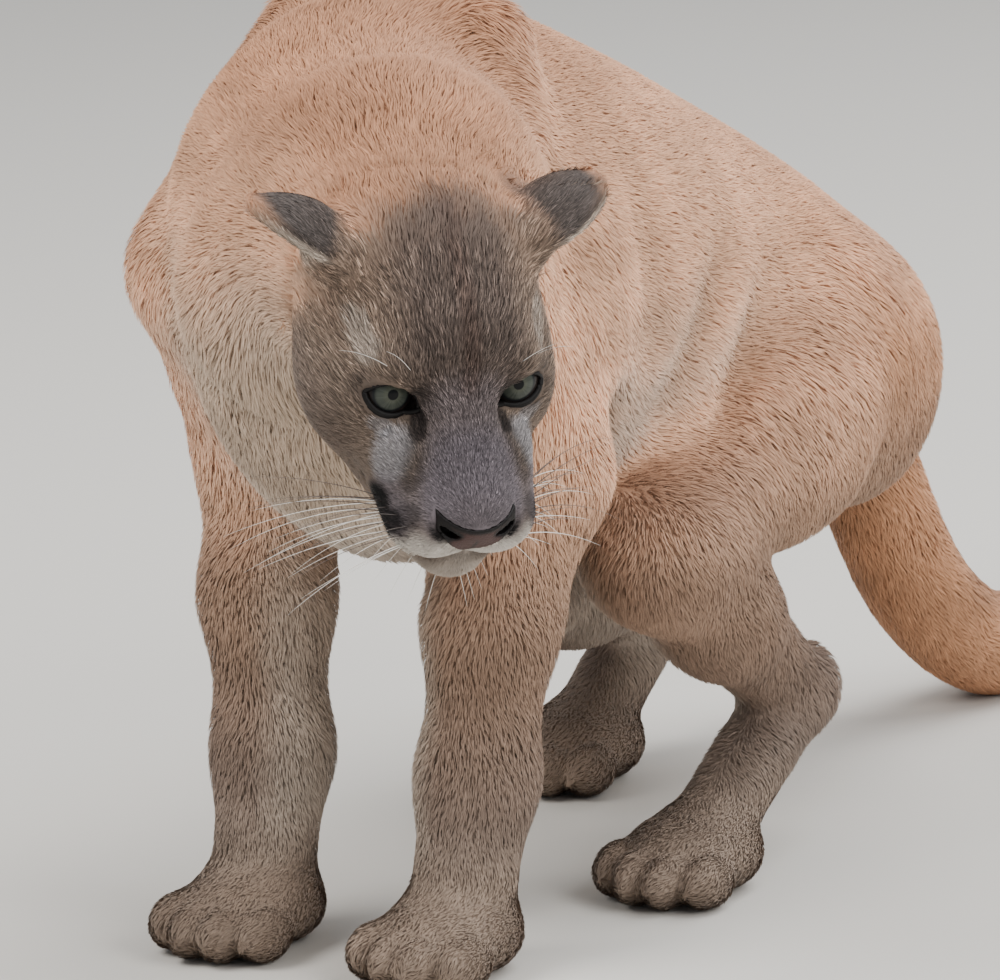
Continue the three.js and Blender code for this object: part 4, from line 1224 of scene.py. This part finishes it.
class COUGAR_OT_whiskers(bpy.types.Operator):
    """Whiskers on the lips, over the eyes and on the chin, tapering and curved by a droop."""

    bl_idname = "cougar.whiskers"
    bl_label = "Whiskers"

    def execute(self, context):
        rng = np.random.default_rng(SEED)
        roots, ways, lengths, pale, thick = [], [], [], [], []
        for side in (1, -1):
            for row in range(5):
                for n in range(5 if row < 4 else 4):
                    back = n / 4
                    place = (60 - 26 * back - 2 * row, 33 + 10 * back - 1.5 * row, -49 - 4.6 * row)
                    sweep = 0.30 if side > 0 else 0.0  # the left ones lie further back
                    way = (0.08 - sweep - 0.5 * back - 0.05 * row, 1.0, 0.14 - 0.22 * row)
                    roots.append(head_point(place, side))
                    ways.append(head_direction(np.array(way) + rng.normal(0, 0.07, 3), side))
                    lengths.append(rng.uniform(62, 104) * (0.72 + 0.28 * back))
                    pale.append(row > 1)
                    thick.append(0.27)
            for n in range(1, 4):
                roots.append(head_point((2 - 2 * n, 28 + 6 * n, 20), side))
                ways.append(head_direction((0.05, 0.45 + 0.2 * n, 0.9), side))
                lengths.append(38 + 5 * n)
                pale.append(n % 2)
                thick.append(0.15)
            for n in range(5):
                roots.append(head_point((58 - 7 * n, 6 + 4 * n, -92), side))
                ways.append(head_direction((0.5 - 0.1 * n, 0.3 + 0.12 * n, -0.8), side))
                lengths.append(22 + 2 * n)
                pale.append(1)
                thick.append(0.18)
        roots = settled(body, np.array(roots), 5, 60)
        t = np.linspace(0, 1, 16)
        lengths, ways = np.array(lengths), np.array(ways)
        room = (WHISKER_ROOM - roots[:, 0]) / np.maximum(ways[:, 0], 1e-3)
        lengths = np.where(ways[:, 0] > 0, np.minimum(lengths, room), lengths)
        droop = np.array([0, 0, -1.0])
        bow = 0.22 * (0.6 + 0.8 * rng.random(len(roots)))
        paths = (roots[:, None] - 1.5 * ways[:, None]
                 + ways[:, None] * (lengths[:, None] * t)[:, :, None]
                 + droop * (bow[:, None] * lengths[:, None] * t ** 2)[:, :, None])
        radii = np.array(thick)[:, None] * (1 - t) ** 0.8 + 0.03
        sides = 6
        points, quads = tube(paths, radii, sides)
        count, steps = len(roots), len(t)
        base = np.arange(count)[:, None] * steps * sides
        ring = np.arange(sides)[None]
        caps = np.concatenate([(base + ring)[:, ::-1], base + (steps - 1) * sides + ring])
        corners = np.concatenate([quads.ravel(), caps.ravel()])
        sizes = np.concatenate([np.full(len(quads), 4), np.full(len(caps), sides)])
        piece = make_mesh("whiskers", points, corners, sizes)
        light = np.repeat(np.array(pale, float), steps * sides)[:, None]
        fade = np.tile(np.repeat(t, sides), count)[:, None]
        dark = linear("#2b2322") + (linear("#7d6f66") - linear("#2b2322")) * fade
        paint(piece, dark + (linear("#efebe4") - dark) * light)
        piece.data.materials.append(whisker_material())
        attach(piece, "root")
        return {"FINISHED"}


def roots_on(points, quads, count, rng):
    """Places spread evenly by the crowd of the coat over the skin, with their normals."""
    triangles = np.concatenate([quads[:, [0, 1, 2]], quads[:, [0, 2, 3]]])
    a, b, c = (points[triangles[:, n]] for n in range(3))
    normal = np.cross(b - a, c - a)
    area = np.linalg.norm(normal, axis=1) / 2
    middles = (a + b + c) / 3
    outer = np.abs(skin_distance(middles) + 0.3) < 2.0
    outer &= middles[:, 2] > 2.5
    outer &= ~on_eye(middles, 3.2)
    ahead = in_head(middles)[:, 0] - NOSE["front"]
    outer &= ~((nose_outline(middles) < 1.0) & (ahead > -6) & (ahead < 30))
    parts, _ = part_nearness(middles)
    _, _, crowd = coat_measure(middles, parts)
    weight = np.cumsum(area * crowd * outer)
    picks = (np.arange(count) + rng.random(count)) / count * weight[-1]
    chosen = np.searchsorted(weight, picks)
    u, v = rng.random((2, count))
    over = u + v > 1
    u, v = np.where(over, 1 - u, u)[:, None], np.where(over, 1 - v, v)[:, None]
    roots = a[chosen] + u * (b - a)[chosen] + v * (c - a)[chosen]
    corner_normals = np.zeros_like(points)
    for n in range(3):
        np.add.at(corner_normals, triangles[:, n], normal)
    corner_normals = unit(corner_normals)
    ta, tb, tc = (corner_normals[triangles[chosen, n]] for n in range(3))
    return roots, unit(ta + u * (tb - ta) + v * (tc - ta))


def unwrap(roots, label):
    """Place of each root on a cylinder wrapped round its part: angle, then distance along."""
    if label.startswith("head"):
        along, across, up = in_head(roots).T
        turn, low, high = np.arctan2(across, up + 20), -130, 90
    elif "leg" in label:
        way = roots - roots.mean(0)
        turn, along, low, high = np.arctan2(way[:, 0], way[:, 1]), roots[:, 2], -5, 620
    elif label == "tail":
        turn = np.arctan2(roots[:, 0], roots[:, 2] - np.minimum(30, roots[:, 2]))
        along, low, high = roots[:, 1] - roots[:, 2], 100, 1210
    elif label == "neck":
        way = roots - np.array([60, -90, 480])
        turn, along, low, high = np.arctan2(way[:, 2], way[:, 0] + way[:, 1]), way[:, 1], -170, 170
    else:
        turn, along = np.arctan2(roots[:, 0], roots[:, 2] - 410), roots[:, 1]
        low, high = -190, 650
    uv = np.stack([turn / (2 * np.pi) + 0.5, (along - low) / (high - low)], 1)
    return np.clip(uv, 0.002, 0.998)


def coat_labels(roots, parts):
    """Name of the coat piece that each root belongs to."""
    labels = np.array(PARTS, dtype="U24")[parts]
    trunk = parts == PARTS.index("torso")
    side = np.where(roots[:, 0] > 0, "left", "right")
    along = np.where(roots[:, 1] < 110, "front", np.where(roots[:, 1] < 320, "middle", "rear"))
    named = np.char.add(np.char.add(np.char.add("trunk_", along), "_"), side)
    labels[trunk] = named[trunk]
    head = parts == PARTS.index("head")
    half = np.where(in_head(roots)[:, 1] > 0, "head_left", "head_right")
    labels[head] = half[head]
    hind = np.char.startswith(labels, "hindleg")
    level = np.where(roots[:, 2] > 210, "_upper", "_lower")
    labels[hind] = np.char.add(labels, level)[hind]
    return labels


# A tuft: how deep its root is sunk, where it bends and how far it has risen there, the
# width of its foot beside its middle, its least height and the shade of its five points,
# darker at the root as painted shade deep in the coat and lighter at the tip as painted light
TUFT = dict(sunk=0.5, bend=0.45, risen=0.72, foot=0.7, floor=0.6,
            shade=(0.88, 0.88, 1.0, 1.0, 1.08))
PATCH_HALF = 0.0015  # half the size of a tuft's patch on the bake map


class COUGAR_OT_coat(bpy.types.Operator):
    """The coat: thin flat tufts of five points each, lying along the body over the skin.

    Each tuft runs from its root along the lie of the coat for its length. It has risen
    through 0.72 of its depth over the skin at 0.45 of the length, and ends in a point.
    """

    bl_idname = "cougar.coat"
    bl_label = "Coat"

    def execute(self, context):
        settings = context.scene.cougar
        skin = bpy.data.objects["skin"].data
        points = np.empty(len(skin.vertices) * 3, np.float32)
        skin.vertices.foreach_get("co", points)
        points = points.reshape(-1, 3).astype(float) / METRE + STAND
        quads = np.empty(len(skin.loops), np.int32)
        skin.loops.foreach_get("vertex_index", quads)
        rng = np.random.default_rng(SEED)
        roots, normals = roots_on(points, quads.reshape(-1, 4), settings.tufts, rng)
        parts, nearness = part_nearness(roots)
        length, width, _ = coat_measure(roots, parts)
        lie = lie_of_coat(roots, normals, nearness)
        side = np.cross(normals, lie)
        count = len(roots)
        sway = (0.30 * ripple(roots, 46, 1) + 0.25 * ripple(roots, 17, 2)
                + rng.normal(0, 0.13, count))[:, None]
        lie = unit(lie * np.cos(sway) + side * np.sin(sway))
        side = np.cross(normals, lie)
        length = length * rng.uniform(0.75, 1.25, count) * (1 + 0.18 * ripple(roots, 30, 3))
        near_eye = on_eye(roots + lie * length[:, None], 1.5)
        length = np.where(near_eye, 1.6, length)
        depth = coat_depth(roots, settings.coat_depth / METRE) * rng.uniform(0.75, 1.15, count)
        depth = np.minimum(depth + 0.35, length * 0.6)[:, None]
        half = (width * rng.uniform(0.75, 1.2, count) / 2)[:, None]
        length = length[:, None]
        roll = rng.normal(0, 0.22, count)[:, None]
        flat = side * np.cos(roll) + normals * np.sin(roll)
        base = roots - TUFT["sunk"] * normals
        middle = roots + lie * length * TUFT["bend"] + normals * depth * TUFT["risen"]
        tip = roots + lie * length + normals * depth
        foot = flat * half * TUFT["foot"]
        tufts = np.stack([base - foot, base + foot,
                          middle + flat * half, middle - flat * half, tip], 1)
        tufts[:, :, 2] = np.maximum(tufts[:, :, 2], TUFT["floor"])
        colour = coat_colour(roots, normals, nearness)
        place = in_head(roots)
        pepper = head_share(roots) * ramp(place[:, 2], -60, 0) * (parts == 0)
        tone = np.exp(rng.normal(0, 0.07 + 0.40 * pepper) + 0.12 * ripple(roots, 120, 7)
                      + 0.14 * ripple(roots, 52, 4) + 0.10 * ripple(roots, 15, 5))[:, None]
        # Painted shade towards each tuft's root, painted light at its tip
        shade = np.array(TUFT["shade"])[None, :, None]
        colours = colour[:, None] * tone[:, None] * shade
        labels = coat_labels(roots, parts)
        patch = np.array([[-1, -1], [1, -1], [1, 0], [-1, 0], [0, 1]]) * PATCH_HALF
        material = hair_material()
        for label in np.unique(labels):
            own = labels == label
            number = int(own.sum())
            if number < 1:
                continue
            first = np.arange(number)[:, None] * 5
            corners = (first + np.array([0, 1, 2, 3, 3, 2, 4])).ravel()
            piece = make_mesh(f"coat_{label}", tufts[own].reshape(-1, 3), corners,
                              np.tile([4, 3], number))
            paint(piece, colours[own].reshape(-1, 3))
            uv = unwrap(roots[own], label)[:, None] + patch
            layer = piece.data.uv_layers.new(name="OFBake")
            layer.data.foreach_set(
                "uv", uv[:, [0, 1, 2, 3, 3, 2, 4]].astype(np.float32).ravel())
            piece.data.materials.append(material)
            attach(piece, "root")
        return {"FINISHED"}


class COUGAR_PT_panel(bpy.types.Panel):
    """Steps that build the cougar, in order."""

    bl_idname = "COUGAR_PT_panel"
    bl_label = "Cougar"
    bl_space_type = "VIEW_3D"
    bl_region_type = "UI"
    bl_category = "Cougar"

    def draw(self, context):
        settings = context.scene.cougar
        for key in settings.bl_rna.properties.keys():
            if key not in ("rna_type", "name"):
                self.layout.prop(settings, key)
        for operator in OPERATORS:
            self.layout.operator(operator.bl_idname)


OPERATORS = (COUGAR_OT_stage, COUGAR_OT_skin, COUGAR_OT_eyes, COUGAR_OT_lids,
             COUGAR_OT_nose, COUGAR_OT_whiskers, COUGAR_OT_coat)
CLASSES = (CougarSettings, *OPERATORS, COUGAR_PT_panel)


def register():
    """Add the classes and the settings."""
    for kind in CLASSES:
        bpy.utils.register_class(kind)
    bpy.types.Scene.cougar = bpy.props.PointerProperty(type=CougarSettings)


def unregister():
    """Take the classes and the settings away."""
    del bpy.types.Scene.cougar
    for kind in reversed(CLASSES):
        bpy.utils.unregister_class(kind)


def main():
    """Build every piece in order."""
    register()
    bpy.ops.cougar.stage()
    bpy.ops.cougar.skin()
    bpy.ops.cougar.eyes()
    bpy.ops.cougar.lids()
    bpy.ops.cougar.nose()
    bpy.ops.cougar.whiskers()
    bpy.ops.cougar.coat()


if __name__ == "__main__":
    main()
